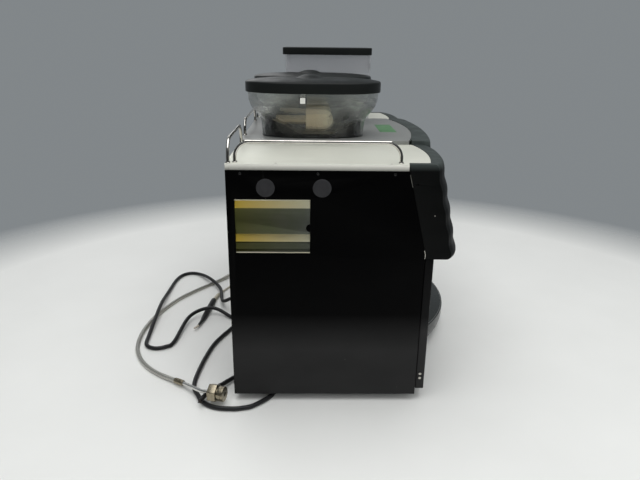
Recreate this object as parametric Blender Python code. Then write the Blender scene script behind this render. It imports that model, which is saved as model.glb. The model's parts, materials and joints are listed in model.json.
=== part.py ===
"""Countertop bean to cup coffee machine with two bean hoppers and a powder hopper.

Metres, +Z up, the front faces -Y and +X is to the right as seen from the front. The origin is on the
surface that the machine stands on, under the middle of its box. Places are given as the distance from
the left side plane (side), the distance forward of the back plane (depth) and the height.
"""
import math

import bpy
import bmesh
import numpy as np
from mathutils import Matrix, Vector

# Driving dimensions
WIDTH = 0.820
BODY_DEPTH = 0.372
TOP_Z = 0.497
BODY_FOOT_Z = 0.0165
SHEET = 0.002
GAP = 0.0003
OVERRUN = 0.010
TRAY_REACH = 0.508
NIPPLE_LENGTH = 0.012
PLATE_SHEET = 0.002

# The back plane lies so that the origin is under the middle of the whole box
REAR_REACH = NIPPLE_LENGTH + PLATE_SHEET + GAP
BACK_Y = (TRAY_REACH - REAR_REACH) / 2
MIDDLE = WIDTH / 2

# Side panels, with the sloped seam in front of which the fascia stands
TRIM_HEIGHT = 0.012
SEAM_FOOT_DROP = 0.187
SEAM_KNEE_DROP = 0.1726
SEAM_KNEE_PROUD = 0.0012
SEAM_SET_BACK = 0.0388
TRIM_CLEAR = 0.0012
SEAM_FOOT_Z = TOP_Z - SEAM_FOOT_DROP
SEAM_KNEE_Z = TOP_Z - SEAM_KNEE_DROP
SIDE_TOP_Z = TOP_Z - TRIM_HEIGHT
SEAM_KNEE_DEPTH = BODY_DEPTH + SEAM_KNEE_PROUD
SEAM_TOP_DEPTH = BODY_DEPTH - SEAM_SET_BACK
TRIM_DEPTH = SEAM_TOP_DEPTH - TRIM_CLEAR

# Cover plate and hole plugs in the left side
COVER_DEPTH = 0.0145
COVER_LENGTH = 0.1395
COVER_DROP = 0.1705
COVER_HEIGHT = 0.1045
COVER_LIP = 0.006
COVER_SHEET = 0.0015
NOTCH_RADIUS = 0.0075
NOTCH_HEIGHT = 0.0493
PLUG_REAR_DEPTH = 0.0721
PLUG_PITCH = 0.103
PLUG_DROP = 0.0445
PLUG_RADIUS = 0.017
PLUG_HOLE_RADIUS = 0.014
PLUG_PROUD = 0.0012
PLUG_TAIL = 0.004
COVER_Z = TOP_Z - COVER_DROP
PLUG_Z = TOP_Z - PLUG_DROP
PLUG_DEPTHS = (PLUG_REAR_DEPTH, PLUG_REAR_DEPTH + PLUG_PITCH)

# Base and feet
BASE_CLEAR = 0.0003
BASE_FLANGE = 0.0075
PLINTH_INSET = 0.010
PLINTH_HEIGHT = 0.0055
FOOT_RADIUS = 0.020
FOOT_SIDE = 0.160
FOOT_REAR_DEPTH = 0.050
FOOT_FRONT_INSET = 0.052
FOOT_DEPTHS = (FOOT_REAR_DEPTH, BODY_DEPTH - FOOT_FRONT_INSET)

# Top sheets
DECK_HALF_WIDTH = 0.194
DECK_RAISE = 0.0076
DECK_SKIN = 0.002
DECK_REAR = 0.0035
LOBE_ROOT_REACH = 0.0488
STRIP_LEAF_REACH = 0.0027
STRIP_LEAF_BOW = 0.0122
STRIP_EDGE_SIDE = 0.0103
STRIP_LEAF_SIDE = 0.014
DECK_LEAF_REACH = 0.022
DECK_LEAF_BOW = 0.0285
THROAT_RADIUS = 0.024
SPLIT_SIDE = MIDDLE - DECK_HALF_WIDTH
DECK_TOP = TOP_Z + DECK_RAISE
LOBE_ROOT_DEPTH = SEAM_TOP_DEPTH + LOBE_ROOT_REACH
STRIP_LEAF_PEAK = LOBE_ROOT_DEPTH + STRIP_LEAF_REACH
STRIP_LEAF_END = STRIP_LEAF_PEAK - STRIP_LEAF_BOW
DECK_LEAF_PEAK = BODY_DEPTH + DECK_LEAF_REACH
DECK_LEAF_END = DECK_LEAF_PEAK - DECK_LEAF_BOW

# Cup rails
ROD_RADIUS = 0.0032
RAIL_SIDE = 0.012
SIDE_RAIL_REAR_DEPTH = 0.0166
SIDE_RAIL_FRONT_INSET = 0.0132
SIDE_RAIL_HEIGHT = 0.0410
SIDE_RAIL_CORNER = 0.029
REAR_RAIL_DEPTH = 0.0055
REAR_RAIL_OUTER_SIDE = 0.0055
REAR_RAIL_INNER_CLEAR = 0.0045
REAR_RAIL_CENTRE_HALF = 0.125
REAR_RAIL_HEIGHT = 0.0445
REAR_RAIL_CORNER = 0.033
SIDE_RAIL_DEPTHS = (SIDE_RAIL_REAR_DEPTH, TRIM_DEPTH - SIDE_RAIL_FRONT_INSET)
SIDE_RAIL_TOP = TOP_Z + SIDE_RAIL_HEIGHT
REAR_RAIL_SIDES = (REAR_RAIL_OUTER_SIDE, SPLIT_SIDE - REAR_RAIL_INNER_CLEAR)
REAR_RAIL_CENTRE_SIDES = (MIDDLE - REAR_RAIL_CENTRE_HALF, MIDDLE + REAR_RAIL_CENTRE_HALF)
REAR_RAIL_TOP = TOP_Z + REAR_RAIL_HEIGHT

# Fascia: side lobes and centre lobe
FASCIA_DROP = 0.182
FASCIA_SIDE_GAP = 0.0005
LOBE_BULGE = 0.028
LOBE_SLOPE_EASE = 0.027
SCALLOP_PITCH = 0.0398
SCALLOP_HEIGHT = 0.0012
FOOT_ROUND = 0.014
RIM_ROUND = 0.006
RIM_PROUD = 0.0008
FASCIA_WALL = 0.006
CENTRE_REACH = 0.058
CENTRE_BOW = 0.0177
CENTRE_CORNER_DEPTH = 0.014
CENTRE_SLOPE = 0.12
FASCIA_BACK_GAP = 0.0005
HOLLOW_REACH = 0.040
FASCIA_FOOT_Z = TOP_Z - FASCIA_DROP
SEAM_SLOPE = (SEAM_KNEE_DEPTH - SEAM_TOP_DEPTH) / (SIDE_TOP_Z - SEAM_KNEE_Z)
LOBE_SLOPE = SEAM_SLOPE - LOBE_SLOPE_EASE
CENTRE_PEAK_DEPTH = BODY_DEPTH + CENTRE_REACH
CENTRE_END_DEPTH = CENTRE_PEAK_DEPTH - CENTRE_BOW
FASCIA_BACK_DEPTH = BODY_DEPTH + FASCIA_BACK_GAP
HOLLOW_DEPTH = BODY_DEPTH + HOLLOW_REACH

# Control panel
PANEL_SET_BACK = 0.0008
PANEL_DROP = 0.087
PANEL_HALF_WIDTH = 0.125
PANEL_HALF_HEIGHT = 0.055
PANEL_SHEET = 0.003
POCKET_DEPTH = 0.0092
DISPLAY_HALF_WIDTH = 0.048
DISPLAY_HALF_HEIGHT = 0.034
BUTTON_RADIUS = 0.0095
BUTTON_PROUD = 0.0025
BUTTON_FLANGE = 0.0015
BUTTON_FLANGE_SHEET = 0.002
BUTTON_TRAVEL = 0.0015
BUTTON_SIDE = 0.085
BUTTON_RISE = 0.024
BOARD_SHEET = 0.0016
RUNNING_GAP = 0.0004
PANEL_DEPTH = CENTRE_PEAK_DEPTH - PANEL_SET_BACK
PANEL_Z = TOP_Z - PANEL_DROP

# Lower front: grounds drawer on the left, service door on the right
FRONT_GAP = 0.0015
DOOR_SIDE = 0.004
DOOR_BAY_CLEAR = 0.005
DOOR_RISE = 0.010
DOOR_EDGE_THICKNESS = 0.017
DOOR_BOW = 0.0175
DOOR_HINGE_SIDE = 0.008
BIN_WALL = 0.0025
BIN_SIDE = 0.020
BIN_BAY_CLEAR = 0.014
BIN_REAR = 0.100
BIN_HEADROOM = 0.0649

# Cup bay between the lower fronts
BAY_HALF_WIDTH = 0.240
BAY_LENGTH = 0.142
BAY_SIDE = MIDDLE - BAY_HALF_WIDTH
BAY_REAR = BODY_DEPTH - BAY_LENGTH
DOOR_WIDTH = BAY_SIDE - DOOR_SIDE - DOOR_BAY_CLEAR
DOOR_Z = BODY_FOOT_Z + DOOR_RISE
BIN_WIDTH = BAY_SIDE - BIN_SIDE - BIN_BAY_CLEAR

# Drip tray and its grid
TRAY_SIDE_CLEAR = 0.005
TRAY_REAR_CLEAR = 0.0025
TRAY_WALL = 0.0025
TRAY_RISE = 0.0495
TRAY_NOSE_DROP = 0.0065
TRAY_CORNER_REACH = 0.036
GRID_SHEET = 0.004
TRAY_SIDE = BAY_SIDE + TRAY_SIDE_CLEAR
TRAY_REAR = BAY_REAR + TRAY_REAR_CLEAR
TRAY_TOP_Z = BODY_FOOT_Z + TRAY_RISE
TRAY_NOSE_Z = BODY_FOOT_Z - TRAY_NOSE_DROP
TRAY_BULGE = TRAY_REACH - BODY_DEPTH - TRAY_CORNER_REACH
GRID_SLOTS = 22
GRID_SLOT_WIDTH = 0.010
GRID_SLOT_LENGTH = 0.110

# Coffee spout
SPOUT_CLEAR = 0.013
SPOUT_LENGTH = 0.046
SPOUT_HALF_WIDTH = 0.048
SPOUT_DROP = 0.100
SPOUT_HEIGHT = 0.055
SPOUT_STEM_HALF = 0.018
SPOUT_STEM_INSET = 0.001
SPOUT_STEM_LENGTH = 0.022
SPOUT_STEM_RISE = 0.070
SPOUT_REAR = BODY_DEPTH + SPOUT_CLEAR
SPOUT_Z = FASCIA_FOOT_Z - SPOUT_DROP
SPOUT_STEM_REAR = SPOUT_REAR + SPOUT_STEM_INSET
SPOUT_STEM_TOP = FASCIA_FOOT_Z + SPOUT_STEM_RISE
NOZZLE_RADIUS = 0.007
NOZZLE_LENGTH = 0.020
NOZZLE_SIDE = 0.022

# Steam wand
WAND_OFFSET = 0.135
WAND_REACH = 0.033
WAND_BALL = 0.011
WAND_RADIUS = 0.004
WAND_SIDE = MIDDLE + WAND_OFFSET
WAND_DEPTH = BODY_DEPTH + WAND_REACH

# Bean hoppers
HOPPER_LEFT_OFFSET = 0.107
HOPPER_RIGHT_OFFSET = 0.108
HOPPER_DEPTH = 0.1587
BASE_HALF_LONG = 0.1093
BASE_HALF_SHORT = 0.058
BASE_HEIGHT = 0.0434
BASE_FRONT_HEIGHT = 0.0354
BASE_RIM = 0.0055
BASE_RIM_SHEET = 0.003
OUTLET_RADIUS = 0.014
BOWL_WALL = 0.0028
BOWL_FOOT_HALF_LONG = 0.1142
BOWL_FOOT_HALF_SHORT = 0.0640
BOWL_LOW_HALF_LONG = 0.1215
BOWL_LOW_HALF_SHORT = 0.0690
BOWL_LOW_HEIGHT = 0.0334
BOWL_WALL_HALF_LONG = 0.1402
BOWL_WALL_HALF_SHORT = 0.0790
BOWL_WALL_HEIGHT = 0.0634
BOWL_HEIGHT = 0.1144
LID_HALF_LONG = 0.1500
LID_HALF_SHORT = 0.0870
LID_FOOT_HEIGHT = 0.0954
LID_RIM_HEIGHT = 0.1184
LID_DOME_HEIGHT = 0.1254
LID_GRIP_HEIGHT = 0.1324
LID_GRIP_HALF_LONG = 0.0265
LID_GRIP_HALF_SHORT = 0.030
LID_WALL = 0.0035
PADDLE_REAR_OFFSET = 0.0157
PADDLE_LENGTH = 0.061
PADDLE_HEIGHT = 0.0349
PADDLE_HALF_HEIGHT = 0.0215
PADDLE_THICKNESS = 0.014
STEM_RADIUS = 0.008
STEM_REAR_OFFSET = 0.0827
STEM_CLEAR = 0.00008
HOPPER_SIDES = (MIDDLE - HOPPER_LEFT_OFFSET, MIDDLE + HOPPER_RIGHT_OFFSET)
BASE_TOP_Z = DECK_TOP + BASE_HEIGHT
BASE_FRONT_Z = DECK_TOP + BASE_FRONT_HEIGHT
BOWL_LOW_Z = DECK_TOP + BOWL_LOW_HEIGHT
BOWL_WALL_Z = DECK_TOP + BOWL_WALL_HEIGHT
BOWL_TOP_Z = DECK_TOP + BOWL_HEIGHT
LID_FOOT_Z = DECK_TOP + LID_FOOT_HEIGHT
LID_RIM_Z = DECK_TOP + LID_RIM_HEIGHT
LID_DOME_Z = DECK_TOP + LID_DOME_HEIGHT
LID_GRIP_Z = DECK_TOP + LID_GRIP_HEIGHT
PADDLE_REAR = HOPPER_DEPTH - PADDLE_REAR_OFFSET
PADDLE_FRONT = PADDLE_REAR + PADDLE_LENGTH
PADDLE_Z = DECK_TOP + PADDLE_HEIGHT
STEM_REAR = HOPPER_DEPTH - STEM_REAR_OFFSET

# Powder hopper
POWDER_INNER_MARGIN = 0.020
POWDER_OUTER_MARGIN = 0.044
POWDER_REAR = 0.083
POWDER_LENGTH = 0.236
POWDER_WALL = 0.003
POWDER_HEIGHT = 0.1747
POWDER_LID_REAR_OVERLAP = 0.0065
POWDER_LID_FRONT_OVERLAP = 0.0015
POWDER_LID_HEIGHT = 0.019
POWDER_LID_OVERLAP = 0.010
POWDER_CORNER = 0.012
POWDER_HALF_WIDTH = (SPLIT_SIDE - POWDER_INNER_MARGIN - POWDER_OUTER_MARGIN) / 2
POWDER_SIDE = WIDTH - POWDER_OUTER_MARGIN - POWDER_HALF_WIDTH
POWDER_TOP_Z = TOP_Z + POWDER_HEIGHT
POWDER_LID_REAR = POWDER_REAR - POWDER_LID_REAR_OVERLAP
POWDER_LID_LENGTH = POWDER_LENGTH + POWDER_LID_REAR_OVERLAP + POWDER_LID_FRONT_OVERLAP

# Works inside
GRINDER_RADIUS = 0.045
GRINDER_THROAT = 0.021
GRINDER_DROP = 0.067
BREW_INSET = 0.072
BREW_RADIUS = 0.033
BREW_DROP = 0.047
BOILER_OFFSET = 0.205
BOILER_END_CLEAR = 0.025
BOILER_DEPTH = 0.120
BOILER_RADIUS = 0.050
BOILER_RISE = 0.008
PUMP_BAY_CLEAR = 0.040
PUMP_END_CLEAR = 0.030
PUMP_DEPTH = 0.150
PUMP_RADIUS = 0.025
PUMP_RISE = 0.006
SADDLE_SHEET = 0.012
GRINDER_BODY_TOP = TOP_Z - GRINDER_DROP
BREW_DEPTH = BODY_DEPTH - BREW_INSET
BREW_TOP = TOP_Z - BREW_DROP
BOILER_SIDE = MIDDLE + BOILER_OFFSET
BOILER_LENGTH = WIDTH - BOILER_END_CLEAR - BOILER_SIDE
PUMP_SIDE = WIDTH - BAY_SIDE + PUMP_BAY_CLEAR
PUMP_LENGTH = WIDTH - PUMP_END_CLEAR - PUMP_SIDE

# Rear connections
PLATE_OFFSET = 0.040
PLATE_WIDTH = 0.350
PLATE_RISE = 0.0055
PLATE_HEIGHT = 0.062
LEAD_GLAND_ALONG = 0.035
SIGNAL_GLAND_ALONG = 0.235
WATER_INLET_ALONG = 0.320
GLAND_RISE = 0.023
INLET_RISE = 0.033
GLAND_RADIUS = 0.009
SIGNAL_GLAND_RADIUS = 0.006
INLET_RADIUS = 0.012
PLATE_SIDE = MIDDLE - PLATE_OFFSET
PLATE_Z = BODY_FOOT_Z + PLATE_RISE
LEAD_GLAND = (PLATE_SIDE + LEAD_GLAND_ALONG, PLATE_Z + GLAND_RISE)
SIGNAL_GLAND = (PLATE_SIDE + SIGNAL_GLAND_ALONG, PLATE_Z + GLAND_RISE)
WATER_INLET = (PLATE_SIDE + WATER_INLET_ALONG, PLATE_Z + INLET_RISE)

# Free leads and hose: diameters
LEAD_DIAMETER = 0.0095
HOSE_DIAMETER = 0.0096
TAIL_DIAMETER = 0.0080
SIGNAL_DIAMETER = 0.0050
BOOT_DIAMETER = 0.0140
COLLAR_DIAMETER = 0.0100
NUT_FLATS = 0.033
NUT_LENGTH = 0.018
NUT_GROOVE = 0.0025
NUT_COLLAR = 0.013
NUT_BORE_CLEAR = 0.00005

# Shares of a size that are chosen by hand
PLUG_FACE_SHARE = 0.86
PLUG_EDGE_SHARE = 0.6
FOOT_TREAD_SHARE = 0.85
FOOT_EDGE_SHARE = 0.95
FOOT_CHAMFER_SHARE = 0.2
GLAND_BODY_SHARE = 0.4
GLAND_TIP_SHARE = 0.8
BUTTON_SIDE_SHARE = 0.7
BUTTON_FACE_SHARE = 0.88
NOZZLE_TIP_SHARE = 0.7
NOZZLE_ROOT_SHARE = 1.5
FUNNEL_RIM_SHARE = 1.6
BREW_WAIST_SHARE = 0.8
BOILER_DOME_SHARE = 0.3
BOILER_END_SHARE = 0.7
PUMP_NECK_SHARE = 0.6
PUMP_FOOT_SHARE = 0.8
PUMP_FOOT_END_SHARE = 0.9
NUT_NECK_SHARE = 0.40
NUT_COLLAR_SHARE = 0.47

# How finely round things are divided
ROUND_SEGMENTS = 24
OVAL_SEGMENTS = 32
LOBE_POINTS = 12
CENTRE_POINTS = 19
LOBE_STEPS = 24
CENTRE_STEPS = 5
ROUND_STEPS = 3
WAND_STEPS = 14
BOOT_STEPS = 16
TAIL_STEPS = 18
WAND_SIDES = 8
TAIL_SIDES = 10
LEAD_SIDES = 12

# Shares of the side lobe's width and bulge that trace its front edge in plan
LOBE_EDGE_SHARES = (
    (0.0, 0.0), (0.05, 0.26), (0.11, 0.46), (0.17, 0.61), (0.28, 0.79), (0.41, 0.91),
    (0.54, 0.98), (0.66, 1.0), (0.78, 0.96), (0.88, 0.86), (0.95, 0.70), (0.985, 0.50), (1.0, 0.22),
)
# Shares of the centre lobe's half width and corner depth that round its two corners
CORNER_SHARES = ((1.0, 1.0), (0.985, 0.55), (0.96, 0.25), (0.92, 0.07))
# Shares of a lid's half size and of its dome height from the rim upward
DOME_SHARES = ((0.985, 0.0), (0.86, 0.48), (0.66, 0.78), (0.42, 0.95), (0.20, 1.0))
# Shares of the grip's half size and height
GRIP_SHARES = ((1.0, -0.5), (0.92, 0.1), (0.62, 0.75), (0.25, 1.0))
# Shares of the boot's length at which its collar, body and tip change width
BOOT_STEP_SHARES = (0.0, 0.22, 0.24, 0.70, 0.80, 1.0)

# Routes of the free leads and the hose: side, depth and height of each point, chosen by hand
MAINS_ROUTE = (
    (0.4050, -0.0146, 0.0450), (0.4050, -0.0300, 0.0450), (0.4062, -0.0460, 0.0438), (0.4110, -0.0620, 0.0386),
    (0.4370, -0.0890, 0.0205), (0.5330, -0.1100, 0.0139), (0.6000, -0.1500, 0.0158), (0.6600, -0.1960, 0.0066),
    (0.6660, -0.2330, 0.0052), (0.6250, -0.2560, 0.0053), (0.5150, -0.2600, 0.0080), (0.4300, -0.2570, 0.0156),
    (0.3500, -0.2515, 0.0152), (0.2700, -0.2480, 0.0067), (0.2200, -0.2420, 0.0051), (0.2020, -0.2190, 0.0050),
    (0.2090, -0.1930, 0.0053), (0.2330, -0.1780, 0.0058), (0.3500, -0.1620, 0.0160), (0.3900, -0.1120, 0.0206),
    (0.3680, -0.0610, 0.0070), (0.3300, -0.0390, 0.0052), (0.2150, -0.0800, 0.0050), (0.0650, -0.0945, 0.0050),
    (0.0060, -0.0755, 0.0050), (-0.0180, -0.0580, 0.0050), (-0.0310, -0.0350, 0.0050),
    (-0.0350, -0.0080, 0.0050), (-0.0331, 0.0180, 0.0050), (-0.0220, 0.0440, 0.0050), (0.0190, 0.0790, 0.0050),
    (0.0760, 0.0760, 0.0050), (0.0920, 0.0520, 0.0050), (0.0820, -0.0010, 0.0062), (0.0440, -0.0320, 0.0096),
    (0.0250, -0.0475, 0.0106), (0.0060, -0.0582, 0.0126), (-0.0030, -0.0607, 0.0137),
    (-0.0110, -0.0628, 0.0150), (-0.0260, -0.0660, 0.0166),
)
HOSE_ROUTE = (
    (0.6900, -0.0146, 0.0550), (0.6900, -0.0300, 0.0550), (0.6900, -0.0450, 0.0545), (0.6860, -0.0640, 0.0440),
    (0.6740, -0.0810, 0.0250), (0.6540, -0.0960, 0.0105), (0.6230, -0.1180, 0.0052), (0.5780, -0.1520, 0.0048),
    (0.5330, -0.1860, 0.0048), (0.4842, -0.2170, 0.0048), (0.4280, -0.2408, 0.0048), (0.3683, -0.2583, 0.0048),
    (0.3128, -0.2670, 0.0048), (0.2561, -0.2675, 0.0048), (0.2029, -0.2590, 0.0048), (0.1588, -0.2406, 0.0048),
    (0.1214, -0.2140, 0.0050), (0.0900, -0.1800, 0.0058), (0.0660, -0.1450, 0.0078), (0.0470, -0.1170, 0.0106),
)
TAIL_ROUTE = (
    (0.0454, -0.1146, 0.0109), (0.0250, -0.0925, 0.0156), (0.0080, -0.0765, 0.0202), (-0.0015, -0.0640, 0.0231),
    (-0.0060, -0.0500, 0.0243), (-0.0089, -0.0400, 0.0245), (-0.0122, -0.0260, 0.0245),
)
SIGNAL_ROUTE = (
    (0.6050, -0.0146, 0.0450), (0.6050, -0.0210, 0.0450), (0.6050, -0.0280, 0.0446), (0.6048, -0.0350, 0.0435),
    (0.6041, -0.0420, 0.0388), (0.6030, -0.0500, 0.0320), (0.6010, -0.0570, 0.0238), (0.5980, -0.0640, 0.0160),
    (0.5932, -0.0712, 0.0098), (0.5870, -0.0780, 0.0058), (0.5790, -0.0838, 0.0036), (0.5700, -0.0885, 0.0028),
    (0.5520, -0.0965, 0.0030), (0.5330, -0.1040, 0.0040), (0.5125, -0.1116, 0.0052),
)
BOOT_ROUTE = (
    (0.5120, -0.1118, 0.0052), (0.4600, -0.1203, 0.0072), (0.4180, -0.1235, 0.0072), (0.3763, -0.1262, 0.0072),
    (0.3181, -0.1329, 0.0072), (0.2980, -0.1420, 0.0072),
)
ROUTE_STEP_DIAMETERS = 2.8


def at(side, depth, height):
    """World point from the distances off the left side and the back plane, and the height."""
    return Vector((side - MIDDLE, BACK_Y - depth, height))


def clear_scene():
    """Remove what the file opened with."""
    for item in list(bpy.data.objects):
        bpy.data.objects.remove(item, do_unlink=True)


def finish(name, colour, roughness, metallic=0.0, alpha=1.0):
    """A plain Principled material."""
    material = bpy.data.materials.new(name)
    material.use_nodes = True
    shader = material.node_tree.nodes["Principled BSDF"]
    shader.inputs["Base Color"].default_value = (*colour, 1.0)
    shader.inputs["Roughness"].default_value = roughness
    shader.inputs["Metallic"].default_value = metallic
    shader.inputs["Alpha"].default_value = alpha
    return material


def add_object(name, mesh_builder, colour, roughness=0.5, metallic=0.0, alpha=1.0):
    """Turn a bmesh into a named object with its own material."""
    bmesh.ops.recalc_face_normals(mesh_builder, faces=mesh_builder.faces)
    mesh = bpy.data.meshes.new(name)
    mesh_builder.to_mesh(mesh)
    mesh_builder.free()
    item = bpy.data.objects.new(name, mesh)
    bpy.context.scene.collection.objects.link(item)
    mesh.materials.append(finish(name, colour, roughness, metallic, alpha))
    mesh.shade_smooth()
    mesh.set_sharp_from_angle(angle=math.radians(35))
    return item


def extrude_outline(points, offset):
    """Close a flat outline into a solid by extruding it."""
    builder = bmesh.new()
    corners = [builder.verts.new(point) for point in points]
    face = builder.faces.new(corners)
    grown = bmesh.ops.extrude_face_region(builder, geom=[face])
    moved = [item for item in grown["geom"] if isinstance(item, bmesh.types.BMVert)]
    bmesh.ops.translate(builder, verts=moved, vec=offset)
    return builder


def block(side, depth, height):
    """A box from three (low, high) pairs."""
    outline = [at(side[0], depth[0], height[0]), at(side[1], depth[0], height[0]),
               at(side[1], depth[1], height[0]), at(side[0], depth[1], height[0])]
    return extrude_outline(outline, Vector((0, 0, height[1] - height[0])))


def plan_prism(outline, low, high):
    """A solid from an outline of (side, depth) points between two heights."""
    return extrude_outline([at(s, d, low) for s, d in outline], Vector((0, 0, high - low)))


def side_prism(outline, near, far):
    """A solid from an outline of (depth, height) points between two distances from the left side."""
    return extrude_outline([at(near, d, h) for d, h in outline], Vector((far - near, 0, 0)))


def loft(rings, closed_ring=False):
    """Skin equal closed loops of points; the last joins the first when closed_ring is set."""
    builder = bmesh.new()
    loops = [[builder.verts.new(point) for point in ring] for ring in rings]
    count = len(loops[0])
    pairs = list(zip(loops, loops[1:]))
    if closed_ring:
        pairs.append((loops[-1], loops[0]))
    for lower, upper in pairs:
        for index in range(count):
            after = (index + 1) % count
            builder.faces.new((lower[index], lower[after], upper[after], upper[index]))
    if not closed_ring:
        builder.faces.new(loops[0])
        builder.faces.new(loops[-1])
    return builder


def circle_loop(centre, first, second, radius, count=ROUND_SEGMENTS):
    """Points of a circle in the plane of two unit directions."""
    angles = [2 * math.pi * index / count for index in range(count)]
    return [centre + first * (radius * math.cos(a)) + second * (radius * math.sin(a)) for a in angles]


def turned(centre, axis, profile, count=ROUND_SEGMENTS):
    """A solid of revolution from (distance along the axis, radius) pairs."""
    axis = Vector(axis).normalized()
    first = axis.orthogonal().normalized()
    second = axis.cross(first)
    rings = [circle_loop(centre + axis * along, first, second, radius, count) for along, radius in profile]
    return loft(rings)


def oval_loop(side, depth, height, half_long, half_short, count=OVAL_SEGMENTS, square=2.6):
    """A rounded oval in plan, longer along the depth."""
    points = []
    for index in range(count):
        angle = 2 * math.pi * index / count
        across = math.copysign(abs(math.cos(angle)) ** (2 / square), math.cos(angle))
        along = math.copysign(abs(math.sin(angle)) ** (2 / square), math.sin(angle))
        points.append(at(side + half_short * across, depth + half_long * along, height))
    return points


def smooth_points(route, count):
    """Evenly spaced points on a Catmull-Rom curve through the route."""
    knots = np.array([tuple(point) for point in route], dtype=float)
    padded = np.vstack([2 * knots[0] - knots[1], knots, 2 * knots[-1] - knots[-2]])
    shares = np.linspace(0, 1, 24, endpoint=False)[:, None]
    dense = []
    for a, b, c, d in zip(padded, padded[1:], padded[2:], padded[3:]):
        dense.append(0.5 * (2 * b + (c - a) * shares + (2 * a - 5 * b + 4 * c - d) * shares ** 2
                            + (3 * b - a - 3 * c + d) * shares ** 3))
    dense = np.vstack([*dense, knots[-1:]])
    lengths = np.concatenate([[0], np.cumsum(np.linalg.norm(np.diff(dense, axis=0), axis=1))])
    wanted = np.linspace(0, lengths[-1], count)
    return np.stack([np.interp(wanted, lengths, dense[:, axis]) for axis in range(3)], axis=1), lengths[-1]


def sweep(points, radius, count):
    """A closed round bar along points, with flat ends."""
    points = [Vector(point) for point in points]
    tangent = (points[1] - points[0]).normalized()
    across = tangent.orthogonal().normalized()
    rings = []
    for index, point in enumerate(points):
        before = points[max(index - 1, 0)]
        after = points[min(index + 1, len(points) - 1)]
        tangent = (after - before).normalized()
        across = (across - tangent * across.dot(tangent)).normalized()
        rings.append(circle_loop(point, across, tangent.cross(across), radius, count))
    return loft(rings)


def curve_object(name, points, diameter, colour, roughness, metallic=0.0, sides=2):
    """A round lead or rod as a curve with a bevel and filled ends."""
    curve = bpy.data.curves.new(name, "CURVE")
    curve.dimensions = "3D"
    curve.bevel_depth = diameter / 2
    curve.bevel_resolution = sides
    curve.use_fill_caps = True
    spline = curve.splines.new("POLY")
    spline.points.add(len(points) - 1)
    for target, point in zip(spline.points, points):
        target.co = (*point, 1.0)
    item = bpy.data.objects.new(name, curve)
    bpy.context.scene.collection.objects.link(item)
    curve.materials.append(finish(name, colour, roughness, metallic))
    return item


def lead_object(name, route, diameter, colour, roughness, metallic=0.0):
    """A free lead along a route of (side, depth, height) points."""
    world = [at(*point) for point in route]
    length = smooth_points(world, 2)[1]
    count = max(6, round(length / (ROUTE_STEP_DIAMETERS * diameter)) + 1)
    points = smooth_points(world, count)[0]
    print(name, "length", round(float(length), 3), "points", count)
    return curve_object(name, points, diameter, colour, roughness, metallic)


def apply_boolean(item, other, operation):
    """Leave a Boolean on an object; the other object only guides it."""
    other.hide_render = True
    other.display_type = "WIRE"
    modifier = item.modifiers.new(operation.title(), "BOOLEAN")
    modifier.operation = operation
    modifier.solver = "EXACT"
    modifier.object = other


def cut(item, builder):
    """Take a solid away from an object."""
    tool = add_object(item.name + "_cutter", builder, (0.5, 0.5, 0.5))
    apply_boolean(item, tool, "DIFFERENCE")


def join(item, builder):
    """Add a solid to an object as one body."""
    tool = add_object(item.name + "_addition", builder, (0.5, 0.5, 0.5))
    apply_boolean(item, tool, "UNION")


def seam_depth(height):
    """Depth of the seam between a side panel and its fascia at a height."""
    if height <= SEAM_KNEE_Z:
        share = max(0.0, (height - SEAM_FOOT_Z) / (SEAM_KNEE_Z - SEAM_FOOT_Z))
        return BODY_DEPTH + (SEAM_KNEE_DEPTH - BODY_DEPTH) * share
    share = min(1.0, (height - SEAM_KNEE_Z) / (SIDE_TOP_Z - SEAM_KNEE_Z))
    return SEAM_KNEE_DEPTH + (SEAM_TOP_DEPTH - SEAM_KNEE_DEPTH) * share


def mirrored(side, right):
    """The distance from the left side of a place given on the left or mirrored to the right."""
    return WIDTH - side if right else side


def mirrored_outline(outline, right):
    """A plan outline, mirrored to the right side when asked."""
    return [(mirrored(s, right), d) for s, d in outline]


SHELF_Z = FASCIA_FOOT_Z
SHELF_TOP = SHELF_Z + SHEET
INNER_SIDE = SHEET + BASE_CLEAR
BASE_FLOOR_Z = BODY_FOOT_Z + BASE_CLEAR
FLOOR_TOP = BASE_FLOOR_Z + SHEET
PLINTH_Z = BODY_FOOT_Z - PLINTH_HEIGHT
SHEET_FOOT_Z = TOP_Z - DECK_SKIN
RIM_TOP = TOP_Z + RIM_PROUD
CENTRE_RIM_TOP = DECK_TOP + RIM_PROUD
BLACK = (0.012, 0.012, 0.013)
CHARCOAL = (0.045, 0.050, 0.049)
STEEL = (0.62, 0.61, 0.58)
GREY = (0.42, 0.42, 0.42)
CLEAR = (0.85, 0.86, 0.86)
BEIGE = (0.70, 0.62, 0.45)
CHROME = (0.75, 0.75, 0.75)


def make_side_panel(name, right):
    """Flat black sheet from the back plane to the sloped seam."""
    outline = [(0, BODY_FOOT_Z), (BODY_DEPTH, BODY_FOOT_Z), (BODY_DEPTH, SEAM_FOOT_Z),
               (SEAM_KNEE_DEPTH, SEAM_KNEE_Z), (SEAM_TOP_DEPTH, SIDE_TOP_Z - GAP), (0, SIDE_TOP_Z - GAP)]
    panel = add_object(name, side_prism(outline, mirrored(0, right), mirrored(SHEET, right)), BLACK, 0.35)
    if not right:
        cut(panel, block((-OVERRUN, OVERRUN), (COVER_DEPTH, COVER_DEPTH + COVER_LENGTH),
                         (COVER_Z, COVER_Z + COVER_HEIGHT)))
        for depth in PLUG_DEPTHS:
            cut(panel, turned(at(-OVERRUN, depth, PLUG_Z), (1, 0, 0),
                              ((0, PLUG_HOLE_RADIUS), (2 * OVERRUN, PLUG_HOLE_RADIUS))))
    return panel


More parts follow.
